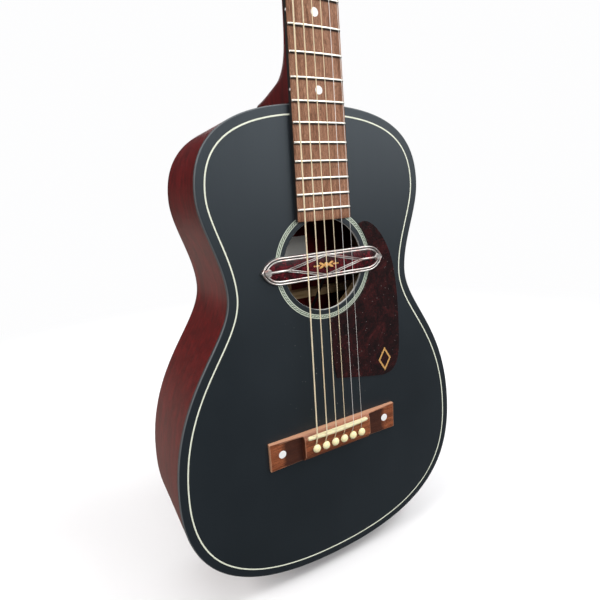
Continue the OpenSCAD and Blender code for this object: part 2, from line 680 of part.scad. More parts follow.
// frame on the worm axis, z outward
module at_worm(side, row) at_tuner(side, row) translate([0, gear_y, -worm_drop])
  rotate([0, 90*side, 0]) children();
module worm(side) rotate([0, 0, -180*worm_l/worm_p])
  linear_extrude(height=worm_l, twist=-360*worm_l/worm_p, center=true, slices=27, $fn=12)
    translate([-side*0.75, 0]) circle(r=worm_r, $fn=12);
module shaft(z, r, h) translate([0, 0, z]) cylinder(r=r, h=h, $fn=32);
module ellipse(a, b) polygon([for (i = [0:27]) [a*cos(360*i/28), b*sin(360*i/28)]]);
module tuner_key(side, row) color("#efe6cf") head_frame() {
  at_worm(side, row) {
    worm(side);
    shaft(-7, 1.4, 10);
    shaft(0, 1.4, 8);
    shaft(4.4, 1.7, key_reach+1-4.4);
    shaft(key_reach-1.5, 2.6, 4);
  }
  at_tuner(side, row) translate([side*(key_reach+8), gear_y, -worm_drop]) {
    plate(-2.5, 5) ellipse(7, 9);
    plate(-3.3, 6.6) ellipse(6, 7.9);
  }
}
// a strip on each side with a pair of lugs holding each worm
module tuner_plates() color("#b9bcc0") head_frame() difference() {
  union() {
    for (s = sides) translate([s*post_x, 0, 0]) plate(head_t, tuner_plate_t) polygon([
      [-8, post_z(0)-20], [8, post_z(0)-20], [8, post_z(2)+18], [-8, post_z(2)+18]]);
    at_tuners() for (q = [-1, 1])
      box([q*5.7-0.6, head_t+tuner_plate_t, -worm_drop-3.4], [1.2, 6.8, 6.6]);
  }
  at_tuners() y_cyl(0, 0, head_t-1, 4, 3.1, 32);
  for (s = sides, row = [0:2]) at_worm(s, row) {
    shaft(-8, 1.45, 9);
    shaft(0, 1.75, 9);
  }
  at_plate_screws() y_cyl(0, 0, head_t-1, 4, screw_r, 24);
}
module tuner_bushings() color("#b9bcc0") head_frame() at_tuners() difference() {
  union() {
    y_cyl(0, 0, -3, 1, 6);
    y_cyl(0, 0, -2, 8, 4.4, 32);
  }
  y_cyl(0, 0, -4, 12, 3.05);
}

// ---------------- pickup and output ----------------
pickup_t = 3.4;
pickup_y = face_y - pickup_t;
pickup_rim = 1.6;
pickup_screw_x = 60.2;
// quarter outline in (x, z), drawn for half sizes of 66 and 12.5
pickup_quarter = [[66, 0], [63.5, 4], [58, 9.2], [51, 12.2], [40, 12.5]];
pickup_upper = mirrored(pickup_quarter, 0);
pickup_points = concat(pickup_upper,
  [for (i = [8:-1:1]) [pickup_upper[i][0], -pickup_upper[i][1]]]);
module pickup_outline(inset) polygon([for (p = pickup_points)
  [p[0]*(pickup_l/2-inset)/66, hole_z + p[1]*(pickup_w/2-inset)/12.5]]);
module rhomb(a, b) polygon([[-a, hole_z], [0, hole_z-b], [a, hole_z], [0, hole_z+b]]);
// rhombic frame with a bar running outward from each point
module pickup_trim(y0, t, bar_end) {
  plate(y0, t) difference() {
    rhomb(42, 11.2);
    rhomb(36.5, 9.6);
  }
  for (s = sides) plate(y0, t) polygon([[s*40.5, hole_z-0.9], [s*40.5, hole_z+0.9],
    [s*bar_end, hole_z+0.9], [s*bar_end, hole_z-0.9]]);
}
module housing_box(depth) box([-37.5, face_y-1.9, hole_z-9.5], [75, depth, 19]);
module pickup_frame() color("#d4d6d8") difference() {
  union() {
    difference() {
      plate(pickup_y, pickup_t-0.001) pickup_outline(0);
      plate(pickup_y-1, 2.4) pickup_outline(pickup_rim);
      housing_box(3);
    }
    pickup_trim(pickup_y-0.5, 1.9, 57);
    for (s = sides) y_cyl(s*pickup_screw_x, hole_z, pickup_y, 1.6, 3.1, 32);
  }
  for (s = sides) y_cyl(s*pickup_screw_x, hole_z, face_y-8, 10, 1.6, 32);
}
module pickup_cover() color("#4a1418") difference() {
  plate(pickup_y+0.2, 1.2) pickup_outline(pickup_rim);
  pickup_trim(pickup_y-1, 4, 57.2);
  for (s = sides) y_cyl(s*pickup_screw_x, hole_z, face_y-8, 10, 3.1, 32);
}
module pickup_housing() color("#161616") difference() {
  housing_box(16);
  y_cyl(26, hole_z, face_y+10, 6, 1.7, 24);
}
module pickup_clamps() color("#2a2a2c") for (s = sides) difference() {
  union() {
    box([s > 0 ? 40.5 : -56, inner_y, hole_z-6], [15.5, 2, 12]);
    y_cyl(s*44, hole_z, inner_y, 4, 2.5, 32);
  }
  y_cyl(s*50, hole_z, inner_y-1, 4, 1.6, 24);
}
module pickup_screws() color("#d4d6d8") for (s = sides) difference() {
  union() {
    y_cyl(s*pickup_screw_x, hole_z, pickup_y-0.9, 0.9, 2.6, 32);
    y_cyl(s*pickup_screw_x, hole_z, pickup_y, 3.4, 1.55, 32);
  }
  box([s*pickup_screw_x-4, pickup_y-2, hole_z-0.35], [8, 1.6, 0.7]);
}
// from the pickup housing to the end pin jack
cable = [[26, face_y+10.5, hole_z], [26, face_y+17, hole_z], [26, face_y+34, hole_z-8],
  [24, 24, 250], [14, 30, 140], [4, 14, 70], [0, 0, 42.4]];
module pickup_cable() color("#1a1a1a") {
  for (i = [0:len(cable)-2]) along(cable[i], cable[i+1])
    cylinder(r=1.5, h=norm(cable[i+1]-cable[i]), $fn=24);
  for (i = [1:len(cable)-2]) translate(cable[i]) sphere(r=1.75, $fn=24);
}
// (radius, z)
jack_profile = [[3.2, -15], [8, -15], [9, -14], [9, -12], [7.2, -9.5], [6.6, -5], [7.2, -2.4],
  [8.8, -1.2], [8.8, 0], [6, 0], [6, 24], [5.2, 24], [5.2, 41], [0, 41], [0, 30], [3.2, 30]];
module endpin_jack() color("#c9ccd0") rotate_extrude($fn=64) polygon(jack_profile);

soundboard();
purfling();
rosette();
back_plate();
side_bass();
side_treble();
lining_front();
lining_back();
neck_block();
tail_block();
x_brace_bass();
x_brace_treble();
upper_brace();
top_bars();
bridge_plate();
back_braces();
back_center_strip();
label();
pickguard();
pickguard_inlay();
bridge();
saddle();
bridge_pins();
bridge_dots();
neck();
heel_cap();
headplate();
truss_rod();
truss_rod_nut();
truss_rod_cover();
headstock_screws();
fingerboard();
position_dots();
frets();
nut();
strings_wound();
strings_plain();
tuner_plates();
tuner_bushings();
tuner_post(1, 0);  // tuner_1_post
tuner_post(1, 1);  // tuner_2_post
tuner_post(1, 2);  // tuner_3_post
tuner_post(-1, 2);  // tuner_4_post
tuner_post(-1, 1);  // tuner_5_post
tuner_post(-1, 0);  // tuner_6_post
tuner_key(1, 0);  // tuner_1_key
tuner_key(1, 1);  // tuner_2_key
tuner_key(1, 2);  // tuner_3_key
tuner_key(-1, 2);  // tuner_4_key
tuner_key(-1, 1);  // tuner_5_key
tuner_key(-1, 0);  // tuner_6_key
pickup_frame();
pickup_cover();
pickup_housing();
pickup_clamps();
pickup_screws();
pickup_cable();
endpin_jack();
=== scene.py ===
"""A steel-string guitar with a soundhole pickup, standing upright on its tail.

x runs across the body, bass side at -x. y runs from the soundboard, which faces -y, to the
back. z runs from the tail at 0 up to the head. Lengths are millimetres in the frame's own
axes unless a comment says metres. An object named "<piece>_v" stands for that CAD piece.
"""
import json
import math
from functools import cached_property

import bmesh
import bpy
import numpy as np
from mathutils import Matrix, Vector
from mathutils.geometry import tessellate_polygon

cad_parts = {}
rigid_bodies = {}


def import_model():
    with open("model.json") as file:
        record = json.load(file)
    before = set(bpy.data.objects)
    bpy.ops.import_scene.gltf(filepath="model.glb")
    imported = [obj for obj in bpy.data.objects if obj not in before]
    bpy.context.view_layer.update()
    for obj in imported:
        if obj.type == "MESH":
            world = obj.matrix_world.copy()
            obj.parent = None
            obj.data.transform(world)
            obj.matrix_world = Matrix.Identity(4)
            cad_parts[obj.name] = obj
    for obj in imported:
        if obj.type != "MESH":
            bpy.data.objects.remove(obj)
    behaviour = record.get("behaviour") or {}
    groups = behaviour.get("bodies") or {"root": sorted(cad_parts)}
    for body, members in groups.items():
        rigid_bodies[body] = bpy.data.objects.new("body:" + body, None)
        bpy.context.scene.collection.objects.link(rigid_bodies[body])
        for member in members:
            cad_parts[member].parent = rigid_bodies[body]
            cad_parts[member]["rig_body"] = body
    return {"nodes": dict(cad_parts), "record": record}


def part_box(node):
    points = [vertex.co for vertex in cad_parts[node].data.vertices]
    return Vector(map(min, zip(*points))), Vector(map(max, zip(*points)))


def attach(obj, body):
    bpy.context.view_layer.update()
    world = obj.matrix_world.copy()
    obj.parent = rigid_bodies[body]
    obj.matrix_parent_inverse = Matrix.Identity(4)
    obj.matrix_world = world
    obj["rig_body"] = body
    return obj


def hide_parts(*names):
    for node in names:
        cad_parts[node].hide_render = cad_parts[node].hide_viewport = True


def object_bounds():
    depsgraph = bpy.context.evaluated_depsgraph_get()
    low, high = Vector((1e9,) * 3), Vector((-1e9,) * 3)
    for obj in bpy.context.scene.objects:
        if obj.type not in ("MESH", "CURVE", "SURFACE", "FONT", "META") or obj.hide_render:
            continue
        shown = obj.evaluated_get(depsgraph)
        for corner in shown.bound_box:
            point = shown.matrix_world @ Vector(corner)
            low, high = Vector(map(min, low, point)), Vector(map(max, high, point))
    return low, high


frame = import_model()
cad_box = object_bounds()
NODES = frame["nodes"]
SLOT_OF = {part["node"]: part["material_slot"] for part in frame["record"]["subparts"]}
PI = math.pi
MM = 0.001                                     # metres in a millimetre

# ------------------------------------------------------------------ driving sizes
TOP_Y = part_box("soundboard")[0].y * 1000       # front face of the soundboard
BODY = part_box("back_plate")[1].z * 1000        # body length
TAIL_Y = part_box("back_plate")[1].y * 1000      # back face at the tail
NUT_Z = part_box("fingerboard")[1].z * 1000
BOARD_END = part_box("fingerboard")[0].z * 1000
SCALE = (NUT_Z - BODY) * 2                     # the 12th fret lies at the body's edge
NUT_WIDTH, WIDTH_12 = 42.9, 52.7               # fingerboard width at the nut and 12th fret
TAPER = (WIDTH_12 - NUT_WIDTH) / (SCALE / 2)
BOARD_THICK, BOARD_RADIUS = 6.5, 305.0
HEEL_DEPTH = 88.0
BACK_SLOPE = (TAIL_Y - (TOP_Y + HEEL_DEPTH)) / BODY
BACK_THICK, SIDE_THICK, TOP_THICK = 2.6, 2.2, 2.8
HOLE_Z, HOLE_RADIUS = 312.5, 43.0
SADDLE_Z, PIN_Z = 147.8, 135.8
SADDLE_HEIGHT = 11.4                           # string rest above the soundboard
HEAD_Z = NUT_Z + 5.5                           # where the tilted head starts
TILT = math.radians(13.0)
HEAD_THICK, HEAD_LENGTH = 13.5, 165.0
HEAD_HALF_LOW, HEAD_HALF_HIGH = 35.0, 37.5     # half widths near the nut and the tip
POST_X = 23.5
GAUGES = [1.35, 1.07, 0.81, 0.62, 0.42, 0.32]  # string diameters, bass to treble
NUT_PITCH, PIN_PITCH = 7.2, 10.76
WRAP_Y = -9.5                                  # lowest string turn, from the head's face


def board_width(z):
    return NUT_WIDTH + TAPER * (NUT_Z - z)


def fret_z(number):
    return NUT_Z - SCALE * (1 - 2 ** (-number / 12))


def board_y(x):
    """The fingerboard's cambered face."""
    return TOP_Y - BOARD_THICK + x * x / (2 * BOARD_RADIUS)


def nut_x(i):
    return (i - 2.5) * NUT_PITCH


def pin_x(i):
    return (i - 2.5) * PIN_PITCH


def saddle_x(i):
    return nut_x(i) + (pin_x(i) - nut_x(i)) * (NUT_Z - SADDLE_Z) / (NUT_Z - PIN_Z)


def tuner_place(i):
    """Side (-1 or 1) of string i's post, and its distance up the head."""
    return (-1, 45 + 40 * i) if i < 3 else (1, 45 + 40 * (5 - i))


def on_head(x, y, z):
    """Turns head coordinates (y behind its face, z up its length) into the frame's."""
    return (x, TOP_Y + y * math.cos(TILT) + z * math.sin(TILT),
            HEAD_Z - y * math.sin(TILT) + z * math.cos(TILT))


def on_top(x, z, height):
    """A point standing in front of the soundboard."""
    return (x, TOP_Y - height, z)


def back_y(z):
    return TAIL_Y - BACK_SLOPE * z


# ------------------------------------------------------------------ curves and loops
def smoothstep(low, high, value):
    t = min(max((value - low) / (high - low), 0), 1)
    return t * t * (3 - 2 * t)


def bezier(points, count):
    t = np.linspace(0, 1, count)[:, None]
    start, pull, push, end = np.asarray(points, float)
    return ((1 - t) ** 3 * start + 3 * (1 - t) ** 2 * t * pull
            + 3 * (1 - t) * t * t * push + t ** 3 * end)


def bezier_chain(points, count):
    """Cubic curves end to end, each starting on the last point of the one before."""
    curves = [bezier(points[k:k + 4], count) for k in range(0, len(points) - 1, 3)]
    return np.vstack([curves[0]] + [curve[1:] for curve in curves[1:]])


def resample(points, step):
    along = np.r_[0, np.cumsum(np.linalg.norm(np.diff(points, axis=0), axis=1))]
    count = max(2, int(round(along[-1] / step)))
    even = np.linspace(0, along[-1], count + 1)
    return np.c_[np.interp(even, along, points[:, 0]), np.interp(even, along, points[:, 1])]


def half_outline():
    """The body's treble edge as (x, z), from the neck end down to the tail."""
    upper, upper_z = 115.7, 380.2      # half width and height of the upper bout
    waist, waist_z = 97.7, 296.9
    lower, lower_z = 160.6, 118.3
    return resample(bezier_chain([
        (0, BODY), (69.8, BODY), (upper, upper_z + 55.7),
        (upper, upper_z), (upper, upper_z - 25.1), (waist, waist_z + 29.9),
        (waist, waist_z), (waist, waist_z - 42.1), (lower, lower_z + 105.1),
        (lower, lower_z), (lower, lower_z - 78), (107.1, 0), (0, 0)], 200), 2.4)


HALF = half_outline()


def half_inset(distance):
    mirror = (-1, 1)
    ends = np.vstack([[HALF[1] * mirror], HALF, [HALF[-2] * mirror]])
    along = ends[2:] - ends[:-2]
    along /= np.linalg.norm(along, axis=1)[:, None]
    return HALF + distance * np.c_[along[:, 1], -along[:, 0]]


def body_inset(distance):
    """The whole body outline, moved inwards."""
    half = half_inset(distance)
    return np.vstack([half, half[1:-1][::-1] * (-1, 1)])


def circle(radius, count, x=0.0, z=0.0):
    angle = np.arange(count) * 2 * PI / count
    return np.c_[x + radius * np.cos(angle), z + radius * np.sin(angle)]


def at_y(loop, y):
    return [(x, y, z) for x, z in loop]


def inset(loop, distance):
    """Moves a closed loop inwards (outwards when negative), mitring corners."""
    loop = np.asarray(loop, float)
    x, z = loop.T
    turn = 1.0 if np.sum(x * np.roll(z, -1) - np.roll(x, -1) * z) > 0 else -1.0
    edge = np.roll(loop, -1, 0) - loop
    edge /= np.maximum(np.linalg.norm(edge, axis=1), 1e-9)[:, None]
    normal = turn * np.c_[-edge[:, 1], edge[:, 0]]
    before = np.roll(normal, 1, 0)
    spread = 1 + np.sum(normal * before, axis=1)
    return loop + distance * (normal + before) / np.maximum(spread, 0.35)[:, None]


def bevel_steps(radius, count):
    """(inset, depth) pairs over a rounded edge, from its face to its flank."""
    if radius == 0:
        return [(0, 0)]
    return [(radius * (1 - math.sin(a)), radius * (1 - math.cos(a)))
            for a in np.linspace(0, PI / 2, count + 1)]


def strip_profile(start, end, base, shoulder, face, bevel):
    """Section of an inlaid strip, as (distance across, y)."""
    return [(start, base), (start, shoulder), (start + bevel, face),
            (end - bevel, face), (end, shoulder), (end, base)]


# ------------------------------------------------------------------ mesh building
def shade(data, angle):
    data.polygons.foreach_set("use_smooth", [True] * len(data.polygons))
    data.set_sharp_from_angle(angle=math.radians(angle))


def register(piece, slot, body="guitar", replaces=None):
    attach(piece, body)
    if replaces is None and piece.name.endswith("_v"):
        replaces = piece.name[:-2]
    if replaces:
        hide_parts(replaces)


class Mesh:
    """Collects vertices and faces in millimetres, then makes one Blender object."""

    def __init__(self):
        self.verts, self.faces, self.slots = [], [], []

    def add(self, points):
        first = len(self.verts)
        self.verts.extend([tuple(float(c) for c in point) for point in points])
        return list(range(first, first + len(points)))

    def face(self, corners):
        self.faces.append(tuple(corners))
        self.slots.append(0)

    def band(self, lower, upper, closed=True):
        count = len(lower)
        for k in range(count if closed else count - 1):
            j = (k + 1) % count
            self.face((lower[k], lower[j], upper[j], upper[k]))

    def loft(self, rings, caps=True, around=False):
        """Skins closed rings. With around, the last ring joins the first."""
        rows = [self.add(ring) for ring in rings]
        for lower, upper in zip(rows, rows[1:] + (rows[:1] if around else [])):
            self.band(lower, upper)
        if caps and not around:
            self.face(rows[0][::-1])
            self.face(rows[-1])
        return rows

    def prism(self, loop, start_y, end_y):
        self.loft([at_y(loop, y) for y in (start_y, end_y)])

    def plate(self, loops, rows):
        """Fills between an outer loop and its holes, already added as rows."""
        flat = [i for row in rows for i in row]
        for corners in tessellate_polygon([[Vector((u, v, 0)) for u, v in loop]
                                           for loop in loops]):
            self.face([flat[i] for i in corners])

    def slab(self, outer, low, high, bevel, steps=4, place=on_top,
             holes=(), hole_bevels=(0.1, 0.4)):
        """A plate from height low to high, its outer edge rounded at the high face."""
        ends = ([], []), ([], [])
        for loop, sign, radii in [(outer, 1, (0, bevel))] + [(h, -1, hole_bevels) for h in holes]:
            rings = [(inset(loop, sign * d), low + h) for d, h in bevel_steps(radii[0], steps)]
            rings += [(inset(loop, sign * d), high - h)
                      for d, h in reversed(bevel_steps(radii[1], steps))]
            rows = self.loft([[place(u, v, height) for u, v in ring] for ring, height in rings],
                             caps=False)
            for (loops, ids), end in zip(ends, (0, -1)):
                loops.append(rings[end][0])
                ids.append(rows[end])
        for loops, ids in ends:
            self.plate(loops, ids)

    def lathe(self, profile, count, place):
        """Turns (radius, height) pairs; place maps (x, z, height) to a point."""
        turn = [2 * PI * k / count for k in range(count)]
        self.loft([[place(r * math.cos(a), r * math.sin(a), height) for a in turn]
                   for r, height in profile])

    def tube(self, path, radius, count):
        path = [np.array(point, float) for point in path]
        heading = []
        for i in range(len(path)):
            step = path[min(i + 1, len(path) - 1)] - path[max(i - 1, 0)]
            heading.append(step / np.linalg.norm(step))
        across = np.cross(heading[0], [1, 0.1, 0.05])
        across /= np.linalg.norm(across)
        rings = []
        for point, ahead in zip(path, heading):
            across = across - np.dot(across, ahead) * ahead
            across /= np.linalg.norm(across)
            other = np.cross(ahead, across)
            rings.append([tuple(point + radius * (math.cos(a) * across + math.sin(a) * other))
                          for a in np.arange(count) * 2 * PI / count])
        self.loft(rings)

    def make(self, name, *materials, angle=40, merge=0.0):
        """Makes the object. angle (degrees) is where edges turn sharp."""
        data = bpy.data.meshes.new(name)
        data.from_pydata([(x * MM, y * MM, z * MM) for x, y, z in self.verts], [], self.faces)
        for key in materials:
            data.materials.append(MATERIALS[key])
        if len(materials) > 1:
            data.polygons.foreach_set("material_index", self.slots)
        bm = bmesh.new()
        bm.from_mesh(data)
        if merge > 0:
            bmesh.ops.remove_doubles(bm, verts=bm.verts, dist=merge * MM)
        bmesh.ops.dissolve_degenerate(bm, edges=bm.edges, dist=1e-7)
        bmesh.ops.recalc_face_normals(bm, faces=bm.faces)
        bm.to_mesh(data)
        bm.free()
        data.update()
        shade(data, angle)
        made = bpy.data.objects.new(name, data)
        bpy.context.scene.collection.objects.link(made)
        return made

    def part(self, name, *materials, body="guitar", slot=None, replaces=None, **shading):
        """Makes the object and registers it. The slot, its first material's by default, is not
        used.
        """
        made = self.make(name, *materials, **shading)
        register(made, slot or materials[0], body, replaces)


def bake(target):
    """Applies the object's modifiers to its mesh."""
    bpy.context.view_layer.update()
    graph = bpy.context.evaluated_depsgraph_get()
    data = bpy.data.meshes.new_from_object(target.evaluated_get(graph))
    target.modifiers.clear()
    old, target.data = target.data, data
    bpy.data.meshes.remove(old)


def boolean(target, other, operation):
    modifier = target.modifiers.new("b", "BOOLEAN")
    modifier.operation = operation
    modifier.object = other
    modifier.solver = "EXACT"
    bake(target)
    bpy.data.objects.remove(other)
    shade(target.data, 35)


def cut(target, mesh):
    boolean(target, mesh.make("cutter", "steel"), "DIFFERENCE")


def settle(target):
    """Lets broad faces rule the shading, so a flat face stays flat up to its edge."""
    modifier = target.modifiers.new("n", "WEIGHTED_NORMAL")
    modifier.mode = "FACE_AREA"
    modifier.weight = 60
    modifier.keep_sharp = True
    bake(target)


def slice_back(target, y):
    """Cuts away all that lies behind y, closes the cut, and returns its outline (x, z)."""
    bm = bmesh.new()
    bm.from_mesh(target.data)
    result = bmesh.ops.bisect_plane(
        bm, geom=bm.verts[:] + bm.edges[:] + bm.faces[:], dist=1e-8,
        plane_co=(0, y * MM, 0), plane_no=(0, 1, 0), clear_outer=True)
    edges = [e for e in result["geom_cut"] if isinstance(e, bmesh.types.BMEdge)]
    first, vert = edges[0].verts
    loop = [first, vert]
    used = {edges[0]}
    while vert is not first:
        edge = next(e for e in vert.link_edges if e in edges and e not in used)
        used.add(edge)
        vert = edge.other_vert(vert)
        loop.append(vert)
    loop.pop()
    bm.faces.new(loop)
    bmesh.ops.recalc_face_normals(bm, faces=bm.faces)
    outline = np.array([(v.co.x * 1000, v.co.z * 1000) for v in loop])
    bm.to_mesh(target.data)
    bm.free()
    target.data.update()
    return outline


def refine(node, material, bevel, segments, angle=30):
    """A copy of a CAD solid with its edges softly broken, standing for the node."""
    source = NODES[node]
    name = node + "_v"
    data = source.data.copy()
    bm = bmesh.new()
    bm.from_mesh(data)
    bmesh.ops.remove_doubles(bm, verts=bm.verts, dist=2e-6)
    bmesh.ops.dissolve_limit(bm, angle_limit=math.radians(1.0), verts=bm.verts, edges=bm.edges)
    bm.to_mesh(data)
    bm.free()
    data.materials.clear()
    data.materials.append(MATERIALS[material])
    data.polygons.foreach_set("material_index", [0] * len(data.polygons))
    copy = bpy.data.objects.new(name, data)
    bpy.context.scene.collection.objects.link(copy)
    modifier = copy.modifiers.new("bevel", "BEVEL")
    modifier.width = bevel * MM
    modifier.segments = segments
    modifier.limit_method = "ANGLE"
    modifier.angle_limit = math.radians(angle)
    modifier.miter_outer = "MITER_ARC"
    bake(copy)
    copy.data.name = name
    shade(copy.data, 30)
    settle(copy)
    register(copy, SLOT_OF[node], source["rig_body"])


# ------------------------------------------------------------------ shader building
MATERIALS = {}


class Value:
    """A node output. Arithmetic on it adds Math nodes."""

    def __init__(self, graph, socket):
        self.graph, self.socket = graph, socket

    def __abs__(self):
        return self.graph.math("ABSOLUTE", self)


for kind, word in (("ADD", "add"), ("SUBTRACT", "sub"), ("MULTIPLY", "mul"),
                   ("DIVIDE", "truediv")):
    setattr(Value, f"__{word}__",
            lambda self, other, kind=kind: self.graph.math(kind, self, other))
    setattr(Value, f"__r{word}__",
            lambda self, other, kind=kind: self.graph.math(kind, other, self))


class Graph:
    """Adds nodes to a shader tree."""

    def __init__(self, tree):
        self.tree = tree
        tree.nodes.clear()

    def fill(self, node, inputs):
        for key, value in inputs.items():
            socket = node.inputs[key]
            if isinstance(value, Value):
                self.tree.links.new(value.socket, socket)
            else:
                socket.default_value = (*value, 1) if socket.type == "RGBA" else value

    def node(self, kind, inputs=None, output=0, **settings):
        node = self.tree.nodes.new("ShaderNode" + kind)
        for key, value in settings.items():
            setattr(node, key, value)
        self.fill(node, inputs or {})
        return Value(self, node.outputs[output])

    def math(self, operation, first, second=0.0, third=0.0, clamp=False):
        return self.node("Math", {0: first, 1: second, 2: third},
                         operation=operation, use_clamp=clamp)

    def scaled(self, value, by, plus):
        return self.math("MULTIPLY_ADD", value, by, plus)

    def mix(self, factor, first, second):
        return self.node("Mix", {0: factor, 6: first, 7: second}, output=2, data_type="RGBA")

    def ramp(self, value, *stops, interpolation="LINEAR"):
        """stops are (position, grey level or colour)."""
        result = self.node("ValToRGB", {0: value})
        ramp = result.socket.node.color_ramp
        ramp.interpolation = interpolation
        while len(ramp.elements) > 1:
            ramp.elements.remove(ramp.elements[-1])
        for k, (position, tone) in enumerate(stops):
            stop = ramp.elements[0] if k == 0 else ramp.elements.new(position)
            stop.position = position
            stop.color = (*tone, 1) if isinstance(tone, tuple) else (tone, tone, tone, 1)
        return result

    def remap(self, value, source, target, **settings):
        """Maps the range source to the range target."""
        return self.node("MapRange", {0: value, 1: source[0], 2: source[1],
                                      3: target[0], 4: target[1]}, **settings)

    def split(self, vector):
        node = self.node("SeparateXYZ", {0: vector}).socket.node
        return [Value(self, socket) for socket in node.outputs]


class Surface(Graph):
    """A node material. Coordinates are millimetres in the part's own frame."""

    SOCKETS = {"color": "Base Color", "rough": "Roughness", "metal": "Metallic",
               "normal": "Normal", "coat": "Coat Weight", "coat_rough": "Coat Roughness",
               "spec": "Specular IOR Level", "tint": "Specular Tint",
               "sss": "Subsurface Weight", "sss_scale": "Subsurface Scale"}

    def __init__(self, name):
        MATERIALS[name] = self.material = bpy.data.materials.new(name)
        self.material.use_nodes = True
        super().__init__(self.material.node_tree)
        self.output = self.tree.nodes.new("ShaderNodeOutputMaterial")
        self.point = self.node("VectorMath", {0: self.node("TexCoord", output="Object"),
                                              1: (1000, 1000, 1000)}, operation="MULTIPLY")

    @cached_property
    def principled(self):
        node = self.tree.nodes.new("ShaderNodeBsdfPrincipled")
        self.tree.links.new(node.outputs[0], self.output.inputs[0])
        return node

    @cached_property
    def geometry_node(self):
        return self.tree.nodes.new("ShaderNodeNewGeometry")

    def geometry(self, output):
        return Value(self, self.geometry_node.outputs[output])

    def set(self, **values):
        self.fill(self.principled, {self.SOCKETS[key]: v for key, v in values.items()})

    def mapped(self, scale, source=None, offset=(0, 0, 0)):
        return self.node("Mapping", {
            "Vector": source or self.point, "Location": offset,
            "Scale": scale if isinstance(scale, tuple) else (scale, scale, scale)})

    def noise(self, scale, detail=4.0, rough=0.5, twist=0.0, source=None, offset=(0, 0, 0),
              density=1.0):
        """Noise with the given frequency per millimetre, one number or one for each axis."""
        return self.node("TexNoise", {
            "Vector": self.mapped(scale, source, offset), "Scale": density,
            "Detail": detail, "Roughness": rough, "Distortion": twist})

    def specks(self, scale, edge):
        """Small round specks: 1 at the middle, 0 beyond edge."""
        distance = self.node("TexVoronoi", {"Vector": self.mapped(scale), "Scale": 1.0},
                             output="Distance")
        return self.ramp(distance, (0.03, 1.0), (edge, 0.0))

    def combine(self, x, y, z):
        return self.node("CombineXYZ", {0: x, 1: y, 2: z})

    def shift(self, vector, x, y, z):
        return self.node("VectorMath", {0: vector, 1: self.combine(x, y, z)}, operation="ADD")

    def bump(self, height, depth, strength):
        return self.node("Bump", {"Height": height, "Distance": depth * MM,
                                  "Strength": strength})


def dim(color, factor):
    return tuple(c * factor for c in color)


# ------------------------------------------------------------------ kinds of material
def wood(name, dark, mid, light, axis="z", pore=0.5, rough=(0.45, 0.62), coat=0.0,
         coat_rough=0.25, grain=1.0, streak=1.0, bump=0.06, book=False):
    """Wood with its grain along axis. book mirrors the figure about the centre line."""
    mat = Surface(name)
    source = mat.point
    if book:
        x, y, z = mat.split(mat.point)
        source = mat.combine(abs(x), y, z)

    def along(amount):
        return (amount, 1, 1) if axis == "x" else (1, 1, amount)

    warp = mat.noise(scale=0.02, detail=2.0, source=source)
    bent = mat.shift(source, warp * 9.0, warp * 7.0, warp * 9.0)
    broad = mat.noise(along(0.05), detail=5.0, rough=0.6, source=bent, density=0.16 * grain)
    narrow = mat.noise(along(0.05), rough=0.55, source=bent, density=0.75 * grain)
    fibre = mat.noise(along(0.03), detail=3.0, rough=0.6, source=bent, density=3.2 * grain)
    color = mat.ramp(mat.scaled(broad, by=0.62, plus=narrow * 0.38),
                     (0.36, dark), (0.5, mid), (0.66, light))
    pores = mat.ramp(fibre, (0.36 + 0.06 * pore, 0.0), (0.47 + 0.04 * pore, 1.0))
    color = mat.mix((1.0 - pores) * (0.75 * pore), color, dim(dark, 0.28))
    cloud = mat.noise(scale=(0.012, 0.012, 0.006), detail=2.0, source=source)
    streaks = mat.ramp(cloud, (0.35, 0.0), (0.7, 1.0)) * (0.35 * streak)
    mat.wood_color = mat.mix(streaks, color, dim(mid, 0.55))
    mat.set(color=mat.wood_color, rough=mat.remap(fibre, (0, 1), (rough[1], rough[0])),
            normal=mat.bump(mat.scaled(pores, by=0.7, plus=narrow * 0.3), bump, strength=0.8),
            coat=coat, coat_rough=coat_rough, spec=0.45)
    return mat


def red_mahogany(name, redness=1.0, coat=0.06, book=False):
    """Wine-red stained mahogany."""
    mat = wood(name, (0.045 * redness, 0.0050, 0.0055), (0.120 * redness, 0.0085, 0.0095),
               (0.210 * redness, 0.013, 0.014), rough=(0.34, 0.46), coat=coat, bump=0.03,
               book=book)
    mat.set(spec=0.32, tint=(1.0, 0.86, 0.80))


def metal(name, color, rough, scratch, tarnish=None):
    mat = Surface(name)
    cloud = mat.noise(scale=0.05)
    brushed = mat.noise(scale=(1.2, 1.2, 0.2), detail=5.0, rough=0.65, density=3.0)
    mat.set(color=mat.mix(mat.ramp(cloud, (0.35, 0.0), (0.75, 1.0)), color,
                          tarnish or dim(color, 0.78)),
            metal=1.0, rough=rough + (cloud * 0.6 + brushed * 0.6) * scratch,
            normal=mat.bump(brushed, depth=0.01, strength=0.5))


def mottled(name, first, second, scale, rough, depth=0.02, strength=0.4, spread=0.0,
            detail=4.0, noise_rough=0.5, **finish):
    """Two tones mixed by one noise, which also drives the bump and any roughness spread."""
    mat = Surface(name)
    noise = mat.noise(scale, detail=detail, rough=noise_rough)
    mat.set(color=mat.mix(noise, first, second),
            rough=mat.scaled(noise, by=spread, plus=rough) if spread else rough,
            normal=mat.bump(noise, depth, strength), **finish)


def blotched(name, first, second, blotch, texture, rough, spread, strength, **finish):
    """Two tones in soft blotches, with a finer texture; each is a set of noise settings."""
    mat = Surface(name)
    fine = mat.noise(**texture)
    mat.set(color=mat.mix(mat.noise(**blotch), first, second),
            rough=mat.scaled(fine, by=spread, plus=rough - spread / 2),
            normal=mat.bump(fine, depth=0.02, strength=strength), **finish)


